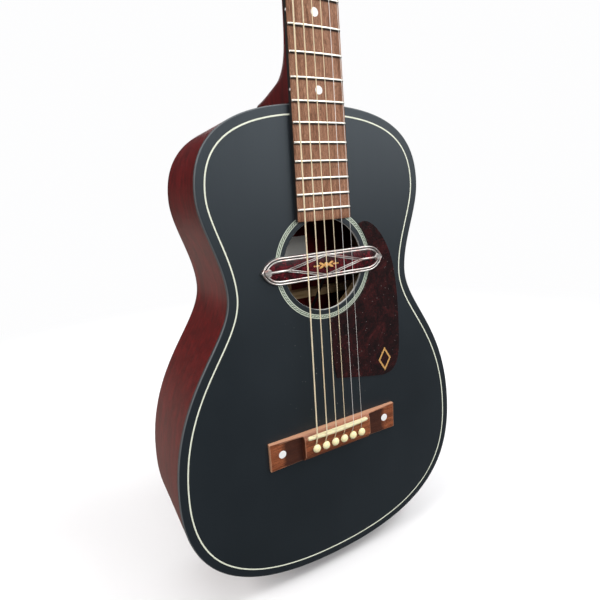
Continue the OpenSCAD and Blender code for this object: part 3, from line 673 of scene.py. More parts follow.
def bone(name, first, second, rough):
    blotched(name, first, second, blotch=dict(scale=0.12, detail=5.0, rough=0.6),
             texture=dict(scale=(1.4, 1.4, 0.3), rough=0.6),
             rough=rough, spread=0.14, strength=0.35, sss=0.12, sss_scale=0.002)


def plastic(name, color, rough):
    blotched(name, color, dim(color, 1.6), blotch=dict(scale=0.05, detail=3.0),
             texture=dict(scale=0.6, detail=5.0, rough=0.6),
             rough=rough, spread=0.16, strength=0.4, spec=0.45)


def tortoise(name, dark, mid, light, scale):
    """Mottled tortoise sheet, scuffed, with a painted highlight along its edges."""
    mat = Surface(name)
    warp = mat.noise(scale=0.03, detail=3.0)
    bent = mat.shift(mat.point, warp * 30.0, 0.0, warp * 22.0)
    large = mat.noise((0.06 * scale, 0.1, 0.045 * scale), detail=6.0, rough=0.62, twist=0.6,
                      source=bent)
    small = mat.noise((0.33 * scale, 0.3, 0.28 * scale), detail=5.0, rough=0.7, twist=0.4,
                      source=bent)
    color = mat.ramp(large * 0.62 + small * 0.38,
                     (0.40, dark), (0.50, mid), (0.58, light), (0.66, dim(light, 2.1)))
    flecks = mat.ramp(mat.noise(scale=(0.55, 0.5, 0.5), detail=3.0, rough=0.7),
                      (0.60, 0.0), (0.68, 1.0))
    color = mat.mix(flecks * 0.55, color, dim(light, 2.2))
    color = mat.mix(mat.specks(scale=0.20, edge=0.11) * 0.35, color, (0.5, 0.44, 0.42))
    # painted highlight: the bevelled edges, picked out by their tilted normals, are lightened in
    # colour
    edge = mat.ramp(abs(mat.split(mat.geometry("True Normal"))[1]),
                    (0.10, 0.0), (0.30, 1.0), (0.94, 1.0), (0.97, 0.0))
    color = mat.mix(edge * 0.55, color, (0.30, 0.26, 0.25))
    scuff = mat.noise(scale=(1.6, 1.0, 0.25), rough=0.7)
    mat.set(color=color, rough=mat.scaled(scuff, by=0.14, plus=0.14), spec=0.30,
            normal=mat.bump(scuff * 0.25 + large * 0.9, depth=0.04, strength=0.3))


# ------------------------------------------------------------------ single materials
def painted_top():
    """Satin blue-black paint over a straight-grained soundboard."""
    mat = Surface("painted_top")
    x, _, z = mat.split(mat.point)
    grain = mat.noise(scale=(0.9, 0.02, 0.006), detail=3.0, rough=0.55)
    ripple = mat.noise(scale=0.35, detail=3.0)
    cloud = mat.noise(scale=(0.011, 0.011, 0.009), detail=3.0)
    color = mat.mix(mat.ramp(cloud, (0.3, 0.0), (0.7, 1.0)),
                    (0.0068, 0.0100, 0.0128), (0.0105, 0.0146, 0.0182))
    color = mat.mix(grain * 0.25, color, (0.006, 0.008, 0.010))
    # dust gathers under the strings, between the hole and the bridge
    dusty = mat.ramp(abs(x / 60.0), (0.25, 1.0), (0.9, 0.0)) * (
        mat.ramp(z / 500.0, (0.28, 0.0), (0.33, 1.0), (0.52, 1.0), (0.6, 0.0)) * 0.85)
    color = mat.mix(mat.specks(scale=0.16, edge=0.10) * dusty, color, (0.30, 0.30, 0.28))
    # painted highlight: the rolled edge, where the face turns into the side, is lightened in colour
    edge = mat.ramp(abs(mat.split(mat.geometry("Normal"))[1]),
                    (0.10, 0.0), (0.40, 1.0), (0.90, 1.0), (0.985, 0.0))
    color = mat.mix(edge * 0.30, color, (0.34, 0.36, 0.37))
    mat.set(color=color, spec=0.5, tint=(0.80, 0.91, 1.0),
            rough=0.43 + (cloud - 0.5) * 0.14 + (grain - 0.5) * 0.10,
            normal=mat.bump(grain * 0.5 + ripple * 0.22, depth=0.035, strength=0.55))


def rope_rosette():
    """A twisted rope between pale and dark rings round the soundhole."""
    ring_start, ring_width = 47.4, 4.5
    mat = Surface("rope_rosette")
    x, _, z = mat.split(mat.point)
    rise = z - HOLE_Z
    radius = mat.math("SQRT", x * x + rise * rise)
    # 96 strands, leaning with the radius
    twist = mat.math("SINE", mat.math("ARCTAN2", rise, x) * 96.0 + radius * 3.2)
    rope = mat.mix(mat.ramp(mat.scaled(twist, by=0.5, plus=0.5), (0.18, 0.0), (0.55, 1.0)),
                   (0.13, 0.17, 0.13), (0.62, 0.70, 0.56))
    across = mat.math("DIVIDE", radius - ring_start, ring_width, clamp=True)

    def rings(*stops):
        return mat.ramp(across, *stops, interpolation="CONSTANT")

    line = rings((0.0, 0.0), (0.07, 1.0), (0.24, 0.0), (0.36, 0.5), (0.66, 0.5), (0.77, 1.0),
                 (0.94, 0.0))
    color = mat.mix(line, (0.020, 0.028, 0.026), (0.70, 0.78, 0.64))
    color = mat.mix(rings((0.0, 0.0), (0.35, 1.0), (0.66, 0.0)), color, rope)
    gap = rings((0.0, 0.0), (0.24, 1.0), (0.35, 0.0), (0.66, 1.0), (0.77, 0.0))
    color = mat.mix(gap, color, (0.016, 0.022, 0.020))
    color = mat.mix(mat.noise(scale=0.5) * 0.25, color, (0.16, 0.19, 0.13))
    mat.set(color=color, rough=0.4, normal=mat.bump(line, depth=0.02, strength=0.4))


def fingerboard_walnut():
    """Walnut with fine dark pores and a narrow band of painted shadow under every fret."""
    mat = wood("fingerboard_walnut", (0.21, 0.085, 0.042), (0.43, 0.205, 0.118),
               (0.62, 0.345, 0.215), pore=1.0, rough=(0.5, 0.68), grain=2.2, bump=0.09,
               streak=0.35)
    fret_step = 0.057762        # one fret's spacing as a share of the remaining string
    z = mat.split(mat.point)[2]
    remaining = (SCALE - NUT_Z) - z * -1.0
    frets = mat.math("LOGARITHM", remaining / SCALE, 2.0) * -12.0
    below = (frets - mat.math("FLOOR", frets + 0.03)) * (remaining * fret_step)
    # painted shadow: a narrow dark band just below each fret
    fret_shadow = mat.remap(below, (1.5, 2.3), (0.85, 0.0))
    mat.set(color=mat.mix(fret_shadow, mat.wood_color, (0.035, 0.018, 0.012)), spec=0.25)


def walnut():
    """Bridge walnut, with painted shade in the scooped wings, painted light on faces turned up, and
    pale sharp edges, partly wear and partly a painted highlight.
    """
    mat = wood("walnut", (0.105, 0.026, 0.010), (0.30, 0.083, 0.030), (0.56, 0.185, 0.075),
               axis="x", pore=0.9, rough=(0.36, 0.52), grain=1.6, bump=0.07)
    x, _, z = mat.split(mat.point)
    out = abs(x)
    ragged = out + mat.noise(scale=0.12, detail=3.0) * 9.0
    # painted shade: the scooped wings are darkened in colour, most near the block and fading
    # towards the tips
    scoop = (mat.remap(out, (38.6, 39.4), (0.0, 1.0)) * mat.remap(ragged, (61.5, 66.5), (0.88, 0.0))
             * mat.remap(z, (149.0, 151.0), (1.0, 0.0)))
    color = mat.mix(scoop, mat.wood_color, (0.030, 0.0075, 0.0045))
    # painted light: faces pointing up are lightened in colour
    upward_light = mat.ramp(mat.split(mat.geometry("Normal"))[2], (0.25, 0.0), (0.6, 1.0))
    color = mat.mix(upward_light * 0.38, color, (0.62, 0.34, 0.22))
    # sharp edges are lightened in colour, partly wear and partly a painted highlight
    worn = mat.ramp(mat.geometry("Pointiness"), (0.512, 0.0), (0.55, 1.0))
    mat.set(color=mat.mix(worn * 0.75, color, (0.66, 0.36, 0.22)), spec=0.3)


def board_side():
    """Black paint on the fingerboard's flanks, worn through near the playing face."""
    mat = Surface("board_side")
    y = mat.split(mat.point)[1]
    noise = mat.noise(scale=(0.3, 0.6, 0.05), detail=5.0, rough=0.65)
    face = TOP_Y - BOARD_THICK
    worn = mat.remap(y + noise * 0.7, (face + 2.35, face + 1.55), (0.0, 1.0))
    mat.set(color=mat.mix(worn, (0.014, 0.013, 0.013), (0.43, 0.27, 0.18)),
            rough=mat.scaled(noise, by=0.2, plus=0.35),
            normal=mat.bump(noise, depth=0.03, strength=0.5))


def tuner_key_ivory():
    mat = Surface("tuner_key_ivory")
    noise = mat.noise(scale=(0.25, 0.05, 0.25), detail=5.0, rough=0.7, twist=0.8)
    mat.set(color=mat.ramp(noise, (0.3, (0.50, 0.42, 0.25)), (0.5, (0.72, 0.66, 0.46)),
                           (0.7, (0.82, 0.78, 0.62))),
            rough=0.22, normal=mat.bump(noise, depth=0.02, strength=0.3),
            coat=0.3, coat_rough=0.1, sss=0.1, sss_scale=0.002)


def pearl():
    mat = Surface("pearl")
    noise = mat.noise(scale=0.35, rough=0.6, twist=1.4)
    mat.set(color=mat.ramp(noise, (0.3, (0.80, 0.88, 0.88)), (0.45, (0.97, 0.98, 0.95)),
                           (0.6, (0.96, 0.90, 0.92)), (0.75, (0.88, 0.96, 0.90))),
            rough=0.16, coat=0.5, coat_rough=0.05, spec=0.7,
            normal=mat.bump(noise, depth=0.03, strength=0.3))


def nickel_silver():
    """Fret wire, with painted shade on the faces that point down."""
    mat = Surface("nickel_silver")
    noise = mat.noise(scale=0.6, detail=5.0, rough=0.6)
    # painted shade: faces pointing down are darkened in colour
    down = mat.ramp(mat.split(mat.geometry("Normal"))[2] * -1.0, (0.18, 0.0), (0.55, 1.0))
    bright = mat.mix(noise, (0.92, 0.90, 0.82), (0.80, 0.77, 0.68))
    mat.set(color=mat.mix(down, bright, (0.05, 0.04, 0.035)), metal=0.55,
            rough=mat.scaled(noise, by=0.16, plus=0.26),
            normal=mat.bump(noise, depth=0.02, strength=0.4))


def chrome():
    """Worn chrome with reddish patches."""
    mat = Surface("chrome")
    cloud = mat.noise(scale=(0.06, 0.2, 0.12))
    brushed = mat.noise(scale=(1.2, 1.2, 0.4), detail=5.0, rough=0.65, density=2.0)
    patches = mat.noise(scale=(0.16, 0.3, 0.3), detail=3.0, rough=0.6, offset=(7, 3, 1))
    color = mat.mix(mat.ramp(cloud, (0.35, 0.0), (0.75, 1.0)),
                    (0.62, 0.59, 0.565), (0.43, 0.40, 0.38))
    color = mat.mix(mat.ramp(patches, (0.54, 0.0), (0.66, 1.0)) * 0.6, color,
                    (0.52, 0.17, 0.13))
    mat.set(color=color, metal=0.95, rough=mat.scaled(brushed, by=0.16, plus=0.24),
            normal=mat.bump(brushed, depth=0.03, strength=0.5))


def string_steel():
    mat = Surface("string_steel")
    noise = mat.noise(scale=(0.5, 0.5, 0.03))
    mat.set(color=mat.mix(mat.ramp(noise, (0.35, 0.0), (0.7, 1.0)),
                          (1.0, 0.98, 0.95), (0.86, 0.84, 0.80)),
            metal=0.30, rough=mat.scaled(noise, by=0.15, plus=0.28),
            normal=mat.bump(noise, depth=0.02, strength=0.4))


def bronze():
    """Bronze string winding."""
    mat = Surface("bronze")
    x, _, z = mat.split(mat.point)
    winding = mat.math("SINE", z * 17.0 + x * 3.0)
    noise = mat.noise(scale=(0.2, 0.2, 0.02))
    color = mat.mix(mat.ramp(noise, (0.35, 0.0), (0.7, 1.0)),
                    (1.0, 0.89, 0.64), (1.0, 0.81, 0.52))
    mat.set(color=mat.mix(mat.ramp(winding, (0.0, 0.22), (0.6, 0.0)), color, (0.52, 0.36, 0.18)),
            metal=0.15, rough=mat.scaled(noise, by=0.15, plus=0.34),
            normal=mat.bump(winding, depth=0.06, strength=0.8))


def make_materials():
    painted_top()
    mottled("cream_purfling", (0.74, 0.78, 0.60), (0.92, 0.94, 0.80), scale=0.3, rough=0.42)
    # painted highlight: a pale skin on the soundhole's wall stands for the glint on its rounded
    # edge
    mottled("hole_edge", (0.80, 0.79, 0.72), (0.92, 0.92, 0.88), scale=0.3, rough=0.35)
    rope_rosette()
    red_mahogany("mahogany_red")
    red_mahogany("mahogany_back", book=True)
    red_mahogany("neck_mahogany", redness=0.8, coat=0.04)
    wood("lining_wood", (0.22, 0.12, 0.05), (0.36, 0.21, 0.10), (0.48, 0.30, 0.16))
    wood("block_wood", (0.12, 0.05, 0.025), (0.22, 0.095, 0.05), (0.32, 0.15, 0.08), axis="x")
    wood("spruce", (0.40, 0.25, 0.12), (0.55, 0.37, 0.19), (0.68, 0.49, 0.28), axis="x",
         pore=0.2, grain=1.4)
    wood("maple", (0.32, 0.17, 0.07), (0.45, 0.27, 0.13), (0.55, 0.36, 0.19), axis="x", pore=0.2)
    fingerboard_walnut()
    walnut()
    board_side()
    tortoise("tortoise", (0.0055, 0.0022, 0.0026), (0.016, 0.0038, 0.0042),
             (0.032, 0.0056, 0.0058), scale=1.5)
    tortoise("pickup_tortoise", (0.008, 0.0015, 0.002), (0.040, 0.0035, 0.006),
             (0.15, 0.008, 0.014), scale=3.2)
    mottled("gold_foil", (0.86, 0.50, 0.17), (0.70, 0.36, 0.11), scale=0.5, rough=0.3,
            spread=0.2, metal=0.35)
    bone("bone", (0.96, 0.85, 0.48), (1.0, 0.94, 0.64), rough=0.33)
    bone("pin_plastic", (0.96, 0.83, 0.44), (1.0, 0.92, 0.58), rough=0.26)
    tuner_key_ivory()
    pearl()
    mottled("paper", (0.86, 0.85, 0.80), (0.95, 0.94, 0.90), scale=0.4, rough=0.85,
            depth=0.05, strength=0.5, detail=6.0, noise_rough=0.7)
    plastic("black_plastic", (0.010, 0.010, 0.011), rough=0.3)
    plastic("coil_black", (0.010, 0.010, 0.010), rough=0.45)
    plastic("cable_rubber", (0.014, 0.014, 0.014), rough=0.55)
    wood("headplate_wood", (0.006, 0.005, 0.005), (0.013, 0.011, 0.011), (0.022, 0.018, 0.017),
         pore=0.4, rough=(0.28, 0.38), coat=0.5, bump=0.02, coat_rough=0.18)
    metal("steel", (0.56, 0.57, 0.58), rough=0.26, scratch=0.15)
    metal("nickel", (0.66, 0.65, 0.62), rough=0.2, scratch=0.16)
    nickel_silver()
    chrome()
    metal("brass", (0.72, 0.50, 0.20), rough=0.25, scratch=0.2, tarnish=(0.45, 0.30, 0.12))
    string_steel()
    bronze()
    wood("inside_mahogany", (0.09, 0.038, 0.018), (0.17, 0.078, 0.038), (0.25, 0.125, 0.065),
         pore=0.6)


def dress_cad_pieces():
    for name, piece in NODES.items():
        key = "block_wood" if name in ("neck_block", "tail_block") else SLOT_OF[name]
        piece.data.materials.clear()
        piece.data.materials.append(MATERIALS.get(key, MATERIALS["steel"]))


# ------------------------------------------------------------------ body box
def build_soundboard():
    edge = 1.5
    inner_y = TOP_Y + TOP_THICK
    # (inset, y) round the rim, and (radius, y) down the soundhole's wall
    rim = ([(edge + 0.45, TOP_Y)] + [(d, TOP_Y + h) for d, h in bevel_steps(edge, 8)]
           + [(0.0, inner_y - 0.12), (0.12, inner_y), (2.0, inner_y)])
    wall = [(HOLE_RADIUS + out, TOP_Y + depth) for out, depth in (
        (1.0, 0.0), (0.5, 0.0), (0.35, 0.04), (0.15, 0.15), (0.04, 0.35), (0.0, 0.5),
        (0.0, TOP_THICK - 0.3), (0.3, TOP_THICK))]
    rim_loops = [body_inset(d) for d, _ in rim]
    wall_loops = [circle(radius, 160, z=HOLE_Z) for radius, _ in wall]
    mesh = Mesh()
    rim_rows = mesh.loft([at_y(loop, y) for loop, (_, y) in zip(rim_loops, rim)], caps=False)
    wall_rows = mesh.loft([at_y(loop, y) for loop, (_, y) in zip(wall_loops, wall)], caps=False)
    for end in (0, -1):
        mesh.plate([rim_loops[end], wall_loops[end]], [rim_rows[end], wall_rows[end]])
    mesh.part("soundboard_v", "painted_top", angle=50)


def build_purfling():
    """A pale line a hair proud of the lacquer, with a thin dark line each side."""
    for name, start, end, material, height in (
            ("purfling_v", 7.95, 9.25, "cream_purfling", 0.05),
            ("purfling_dark_outer", 7.55, 7.95, "black_plastic", 0.03),
            ("purfling_dark_inner", 9.25, 9.65, "black_plastic", 0.03)):
        profile = strip_profile(start, end, TOP_Y + 1.0, TOP_Y - height * 0.4,
                                TOP_Y - height, 0.12)
        mesh = Mesh()
        mesh.loft([at_y(body_inset(d), y) for d, y in profile], around=True)
        mesh.part(name, material)


def build_hole_ring(name, inner, outer, face, base, material, slot):
    bevel = 0.05
    mesh = Mesh()
    mesh.loft([at_y(circle(radius, 192, z=HOLE_Z), y) for radius, y in
               strip_profile(inner, outer, base, face + bevel, face, bevel)], around=True)
    mesh.part(name, material, slot=slot)


def build_sides():
    """One bent strip each side, meeting on the centre line at the tail and the heel."""
    last = 8        # steps across the strip
    for sign, name in ((-1, "side_bass_v"), (1, "side_treble_v")):
        mesh = Mesh()
        skins = []
        for outline in (half_inset(0.03), half_inset(SIDE_THICK)):
            skins.append([mesh.add([
                (sign * max(x, 0.0), y, z) for y in np.linspace(
                    TOP_Y + TOP_THICK - 0.02, back_y(z) - BACK_THICK + 0.25, last + 1)])
                for x, z in outline])
        for columns in skins:
            for column, after in zip(columns, columns[1:]):
                mesh.band(column, after, closed=False)
        outer, inner = skins
        for k in (0, last):
            mesh.band([c[k] for c in outer], [c[k] for c in inner], closed=False)
        for end in (0, -1):
            mesh.band(outer[end], inner[end], closed=False)
        mesh.part(name, "mahogany_red")


def on_back(loop, height):
    return [(x, back_y(z) + height, z) for x, z in loop]


def build_back():
    """Shallow dome with a rolled edge, and a fine dark joint line against the sides."""
    centre = np.array([0, 205.0])
    edge, rise = 1.7, 1.9
    mesh = Mesh()
    profile = [(2.4, -BACK_THICK), (0.1, -BACK_THICK), (0.0, -BACK_THICK + 0.12)]
    profile += [(d, -h) for d, h in reversed(bevel_steps(edge, 5))]
    rows = mesh.loft([on_back(body_inset(d), h) for d, h in profile], caps=False)

    def close(row, outline, shares, height):
        """Shrinks the outline towards the centre in steps, ending in a fan."""
        for share in shares:
            after = mesh.add(on_back((outline - centre) * share + centre, height(share)))
            mesh.band(row, after)
            row = after
        tip = mesh.add(on_back([centre], height(0)))[0]
        for k in range(len(row)):
            mesh.face((row[k], row[(k + 1) % len(row)], tip))

    close(rows[-1], body_inset(edge),
          (0.992, 0.97, 0.93, 0.88, 0.82, 0.74, 0.65, 0.55, 0.44, 0.33, 0.22, 0.12, 0.05),
          lambda share: rise * (1 - share * share) ** 1.15)
    close(rows[0], body_inset(2.4), (0.7, 0.35), lambda share: -BACK_THICK)
    mesh.part("back_plate_v", "mahogany_back", slot="mahogany_red", angle=50)

    mesh = Mesh()
    mesh.loft([on_back(body_inset(d), h - BACK_THICK) for d, h in
               ((0.0, -0.10), (0.0, 0.32), (0.8, 0.32), (0.8, -0.10))], around=True)
    mesh.part("back_joint_line", "black_plastic")


# ------------------------------------------------------------------ pickguard and CAD pieces
# Bezier chain of (x, z), clockwise from the upper end beside the rosette
GUARD_CURVES = [
    (38.5, 345), (47, 356), (66, 343), (77, 314), (84, 295), (86.5, 262), (86.2, 226),
    (86, 203), (84, 186), (63, 187), (45, 189.5), (25, 194), (6, 198),
    (3, 215), (2, 240), (1, 262)]


def build_guard():
    """Thin sheet cut round the rosette and fitted close to the pickup."""
    mesh = Mesh()
    outline = np.vstack([bezier_chain(GUARD_CURVES, 26), [(1.0, 300.0), (30.0, 330.0)]])
    mesh.slab(outline, 0.0, 1.4, bevel=0)
    guard = mesh.make("pickguard_v", "tortoise", angle=30, merge=0.001)
    for loop in (circle(52.1, 128, z=HOLE_Z), inset(pickup_loop(), -0.25)):
        cutter = Mesh()
        cutter.prism(loop, TOP_Y - 5, TOP_Y + 3)
        cut(guard, cutter)
    modifier = guard.modifiers.new("bevel", "BEVEL")
    modifier.width = 0.5 * MM
    modifier.segments = 3
    modifier.limit_method = "ANGLE"
    modifier.angle_limit = math.radians(45)
    settle(guard)
    register(guard, "tortoise")


# piece, material, bevel width, bevel segments, and the least angle bevelled if not 30 degrees
REFINED = [
    ("pickguard_inlay", "gold_foil", 0.1, 2), ("headplate", "headplate_wood", 0.5, 3),
    ("truss_rod_cover", "black_plastic", 0.5, 3), ("tuner_plates", "nickel", 0.22, 2),
    ("tuner_bushings", "nickel", 0.3, 3), ("headstock_screws", "nickel", 0.12, 2),
    ("pickup_clamps", "coil_black", 0.3, 2), ("pickup_housing", "coil_black", 0.8, 3),
    ("pickup_screws", "chrome", 0.25, 3), ("endpin_jack", "nickel", 0.35, 3, 24),
    ("saddle", "bone", 0.4, 3), ("nut", "bone", 0.12, 2, 40), ("label", "paper", 0.04, 1),
    ("truss_rod", "steel", 0.2, 2), ("truss_rod_nut", "brass", 0.2, 2),
    ("pickup_cable", "cable_rubber", 0.05, 1, 60)]
BRACING = ("x_brace_bass", "x_brace_treble", "upper_brace", "top_bars", "back_braces",
           "bridge_plate", "back_center_strip")


def refine_cad_pieces():
    for row in REFINED:
        refine(*row)
    # the saddle is thickened along z about its own middle
    for vert in bpy.data.objects["saddle_v"].data.vertices:
        vert.co.z = (SADDLE_Z + (vert.co.z * 1000 - SADDLE_Z) * 1.25) / 1000
    for name in BRACING:
        refine(name, SLOT_OF[name], 0.8, 2)
    for name in ("neck_block", "tail_block"):
        refine(name, "block_wood", 1.2, 2)


# ------------------------------------------------------------------ lining with saw kerfs
def build_lining():
    block = 3           # outline steps in one kerfed block
    kerf = 0.16         # share of a step left open at each end of a block
    outer, inner = half_inset(SIDE_THICK - 0.05), half_inset(SIDE_THICK + 5.8)
    for name, face, inward in (
            ("lining_front_v", lambda z: TOP_Y + TOP_THICK, 1),
            ("lining_back_v", lambda z: back_y(z) - BACK_THICK, -1)):
        mesh = Mesh()
        for side in (-1, 1):
            for start in range(0, len(outer) - block, block):
                end = start + block
                heights = outer[start:end + 1, 1]
                # room is left for the tail block and the neck block
                if min(heights) <= 21 or (max(heights) > 405 and outer[start, 0] < 40):
                    continue
                sections = []
                for k in range(start, end + 1):
                    nearby = {start: start + 1, end: end - 1}.get(k, k)
                    wall = outer[k] + (outer[nearby] - outer[k]) * kerf
                    lip = inner[k] + (inner[nearby] - inner[k]) * kerf
                    crest = wall + (lip - wall) * 0.42
                    sections.append([
                        (side * x, face(z) + inward * depth, z) for (x, z), depth in
                        ((wall, 0), (lip, 0), (lip, 3.2), (crest, 13.0), (wall, 14.0))])
                mesh.loft(sections)
        mesh.part(name, "lining_wood", angle=30)


# ------------------------------------------------------------------ neck, heel and headstock
HEEL_START = 566        # z where the shaft begins to swell into the heel
HEEL_FOOT = 472.6       # z below which the spine drops in a straight line
HEEL_TAIL_HALF = 19.9   # half width at the heel's full depth


def shaft_depth(z):
    return 15.0 + 3.0 * (NUT_Z - z) / (NUT_Z - BODY)


# (z, depth of the spine behind the soundboard plane), with a bulge near the foot
HEEL_SPINE = bezier([(HEEL_START, shaft_depth(HEEL_START)), (498.1, 12.9), (483.6, 16.4),
                     (470.2, HEEL_DEPTH)], 160)
HEEL_SPINE[:, 1] += 16.57 * np.exp(-((HEEL_SPINE[:, 0] - 472.9) / 3.22) ** 2)
# (half width, depth) down the heel's flank
HEEL_FLANK = bezier([(WIDTH_12 / 2, 0.0), (WIDTH_12 / 2, 4.4), (20.7, 18.5),
                     (HEEL_TAIL_HALF, HEEL_DEPTH)], 120)


def heel_depth(z):
    """Depth of the neck's spine behind the soundboard plane."""
    if z >= HEEL_START:
        return shaft_depth(z)
    spine = float(np.interp(-max(z, HEEL_FOOT), -HEEL_SPINE[:, 0], HEEL_SPINE[:, 1]))
    return spine if z > HEEL_FOOT else min(spine + 7.5 * (HEEL_FOOT - z), 150.0)


def heel_half_width(z, depth):
    if depth <= HEEL_DEPTH:
        half = float(np.interp(depth, HEEL_FLANK[:, 1], HEEL_FLANK[:, 0]))
    else:
        half = HEEL_TAIL_HALF - 0.08 * (depth - HEEL_DEPTH)
    return half * board_width(z) / WIDTH_12


def head_outline():
    low, mid, high, tip = board_width(HEAD_Z) / 2, HEAD_HALF_LOW, HEAD_HALF_HIGH, HEAD_LENGTH
    half = np.vstack([
        [(low, 0.6)],
        bezier([(low, 2), (low + 1, 15), (mid, 14), (mid, 27)], 18),
        np.c_[np.linspace(mid, high, 8), np.linspace(27, tip - 8, 8)][1:],
        bezier_chain([(high, tip - 8), (high, tip - 3), (high - 8, tip - 2), (high - 18, tip - 2),
                      (12, tip - 2), (6, tip), (0, tip)], 18)[1:]])
    return np.vstack([half, half[-2::-1] * (-1, 1)])


def neck_mesh():
    shaft_end, root = HEAD_Z + 0.2, 22      # root is how far the neck runs into the head
    steps = 44
    stations = [BODY]
    for start, end, count in ((BODY, 470, 30), (470, 500, 34), (500, HEEL_START, 30),
                              (HEEL_START, HEAD_Z - 18, 24), (HEAD_Z - 18, shaft_end, 15),
                              (shaft_end, HEAD_Z + root, 14)):
        stations += list(np.linspace(start, end, count))[1:]
    rings = []
    for z in stations:
        spine = heel_depth(min(z, NUT_Z))
        half = board_width(min(z, HEAD_Z)) / 2
        front = 0.0
        if z > shaft_end:
            front = (z - HEAD_Z) * math.tan(TILT) + 0.6 * (z - HEAD_Z) / root + 0.05
        # towards the nut the round section squares up, to meet the flat headstock
        square = smoothstep(HEAD_Z - 17, HEAD_Z - 1.5, z)
        plain = min(max((z - HEEL_START) / 54, 0), 1)
        ring = []
        for k in range(steps + 1):
            c, s = math.cos(PI * k / steps), math.sin(PI * k / steps)
            depth = spine * s ** (0.96 - 0.84 * square)
            width = heel_half_width(z, depth) * (1 - plain) + half * plain
            ring.append((width * math.copysign(abs(c) ** (0.94 - 0.82 * square), c),
                         TOP_Y + max(depth, front), z))
        rings.append(ring)
    mesh = Mesh()
    mesh.loft(rings)
    return mesh


def box_mesh(half, y_range, z_range):
    near, far = y_range
    mesh = Mesh()
    mesh.loft([[(-half, near, z), (half, near, z), (half, far, z), (-half, far, z)]
               for z in z_range])
    return mesh


def build_neck():
    cap_thick = 3.0
    bore, bore_y = 4.2, TOP_Y + 5.6
    neck = neck_mesh().make("neck_v", "neck_mahogany", angle=30, merge=0.003)
    cap_y = TOP_Y + HEEL_DEPTH - cap_thick
    # the heel cap carries on the outline of the cut it is glued to
    mesh = Mesh()
    mesh.slab(slice_back(neck, cap_y), cap_y + 0.02, cap_y + cap_thick, bevel=0.7, steps=5,
              place=lambda x, z, y: (x, y, z))
    cap = mesh.make("heel_cap_v", "black_plastic", angle=50)
    mesh = Mesh()
    holes = [circle(3.45, 32, side * POST_X, tuner_place(k)[1])
             for side in (-1, 1) for k in range(3)]
    mesh.slab(head_outline(), 0.0, HEAD_THICK, bevel=1.1, holes=holes,
              place=lambda x, z, y: on_head(x, y, z))
    boolean(neck, mesh.make("head", "neck_mahogany", angle=35), "UNION")
    # a round bore and an open pocket above the nut, then a channel down the neck
    mesh = Mesh()
    mesh.loft([[(x, bore_y + y, z) for x, y in circle(bore, 32)]
               for z in (NUT_Z + 1, NUT_Z + 41)])
    cut(neck, mesh)
    cut(neck, box_mesh(bore, (TOP_Y - 8, bore_y), (HEAD_Z - 1, HEAD_Z + 25)))
    cut(neck, box_mesh(3.2, (TOP_Y - 1, TOP_Y + 9), (BODY - 2, NUT_Z + 2)))
    settle(neck)
    settle(cap)
    register(neck, "neck_mahogany")
    register(cap, "black_plastic")


# ------------------------------------------------------------------ fingerboard, frets, dots
def board_section(z, shrink=0.0, drop=0.0):
    half = board_width(z) / 2 - shrink
    roll = 0.7
    edge_y = board_y(half) + drop
    left = [(-half, TOP_Y), (-half, edge_y + 1.5), (-half, edge_y + 0.9)]
    for a in np.linspace(0, PI / 2, 5)[1:]:
        x = -half + roll * (1 - math.cos(a))
        left.append((x, board_y(x) + roll * (1 - math.sin(a)) + drop))
    middle = [(x, board_y(x) + drop) for x in np.linspace(-half + roll, half - roll, 26)[1:-1]]
    right = [(-x, y) for x, y in reversed(left)]
    return [(x, y, z) for x, y in left + middle + right]


def build_fingerboard():
    mesh = Mesh()
    sections = [board_section(BOARD_END, 0.6, 0.6), board_section(BOARD_END + 0.2, 0.25, 0.2),
                board_section(BOARD_END + 0.6)]
    sections += [board_section(z) for z in np.linspace(BOARD_END + 6, NUT_Z - 0.02, 30)]
    mesh.loft(sections)
    count = len(sections[0])
    for row in range(len(sections) - 1):
        for k in (0, 1, count - 3, count - 2):      # the flanks
            mesh.slots[row * count + k] = 1
    mesh.part("fingerboard_v", "fingerboard_walnut", "board_side")


# fret section: (along the board, height above its face), crown then tang
FRET_SECTION = [
    (-1.2, 0.0), (-1.13, 0.35), (-0.9, 0.72), (-0.55, 0.98), (-0.18, 1.09),
    (0.18, 1.09), (0.55, 0.98), (0.9, 0.72), (1.13, 0.35), (1.2, 0.0),
    (0.3, 0.0), (0.3, -1.7), (-0.3, -1.7), (-0.3, 0.0)]
# (distance from the fret's end, share of full height)
FRET_END = [(0, 0.12), (0.2, 0.45), (0.5, 0.78), (0.95, 0.97)]


def build_frets():
    mesh = Mesh()
    for number in range(1, 19):
        fret = fret_z(number)
        half = board_width(fret) / 2 - 0.15
        stations = [(-half + d, share) for d, share in FRET_END]
        stations += [(x, 1) for x in np.linspace(-half + 2.5, half - 2.5, 20)]
        stations += [(half - d, share) for d, share in reversed(FRET_END)]
        rings = []
        for x, share in stations:
            lean = x / BOARD_RADIUS
            ring = []
            for along, height in FRET_SECTION:
                if height > 0:
                    height *= share
                ring.append((x + height * math.sin(lean), board_y(x) - height * math.cos(lean),
                             fret + along * (0.7 + 0.3 * share)))
            rings.append(ring)
        mesh.loft(rings)
    mesh.part("frets_v", "nickel_silver", angle=50)


def build_position_dots():
    """Dots on the face and the bass flank, a touch proud and softly edged."""
    mesh = Mesh()
    for number in (3, 5, 7, 9, 12):
        middle = (fret_z(number) + fret_z(number - 1)) / 2
        flank = -board_width(middle) / 2
        mesh.lathe([(3.5, 1.5), (3.5, -0.02), (3.4, -0.07), (3.1, -0.09), (1.6, -0.10)], 48,
                   lambda x, z, h: (x, board_y(x) + h, middle + z))
        mesh.lathe([(1.1, 1.8), (1.1, 0.0), (1.0, -0.05), (0.5, -0.07)], 24,
                   lambda y, z, h: (flank + h, TOP_Y - 3.4 + y, middle + z))
    mesh.part("position_dots_v", "pearl")


# ------------------------------------------------------------------ bridge, pins, dots
BRIDGE_Z, BRIDGE_DEPTH, BRIDGE_HALF = 124.2, 28.3, 74.25   # tail edge, size in z, half length
BRIDGE_TOP = 8.2


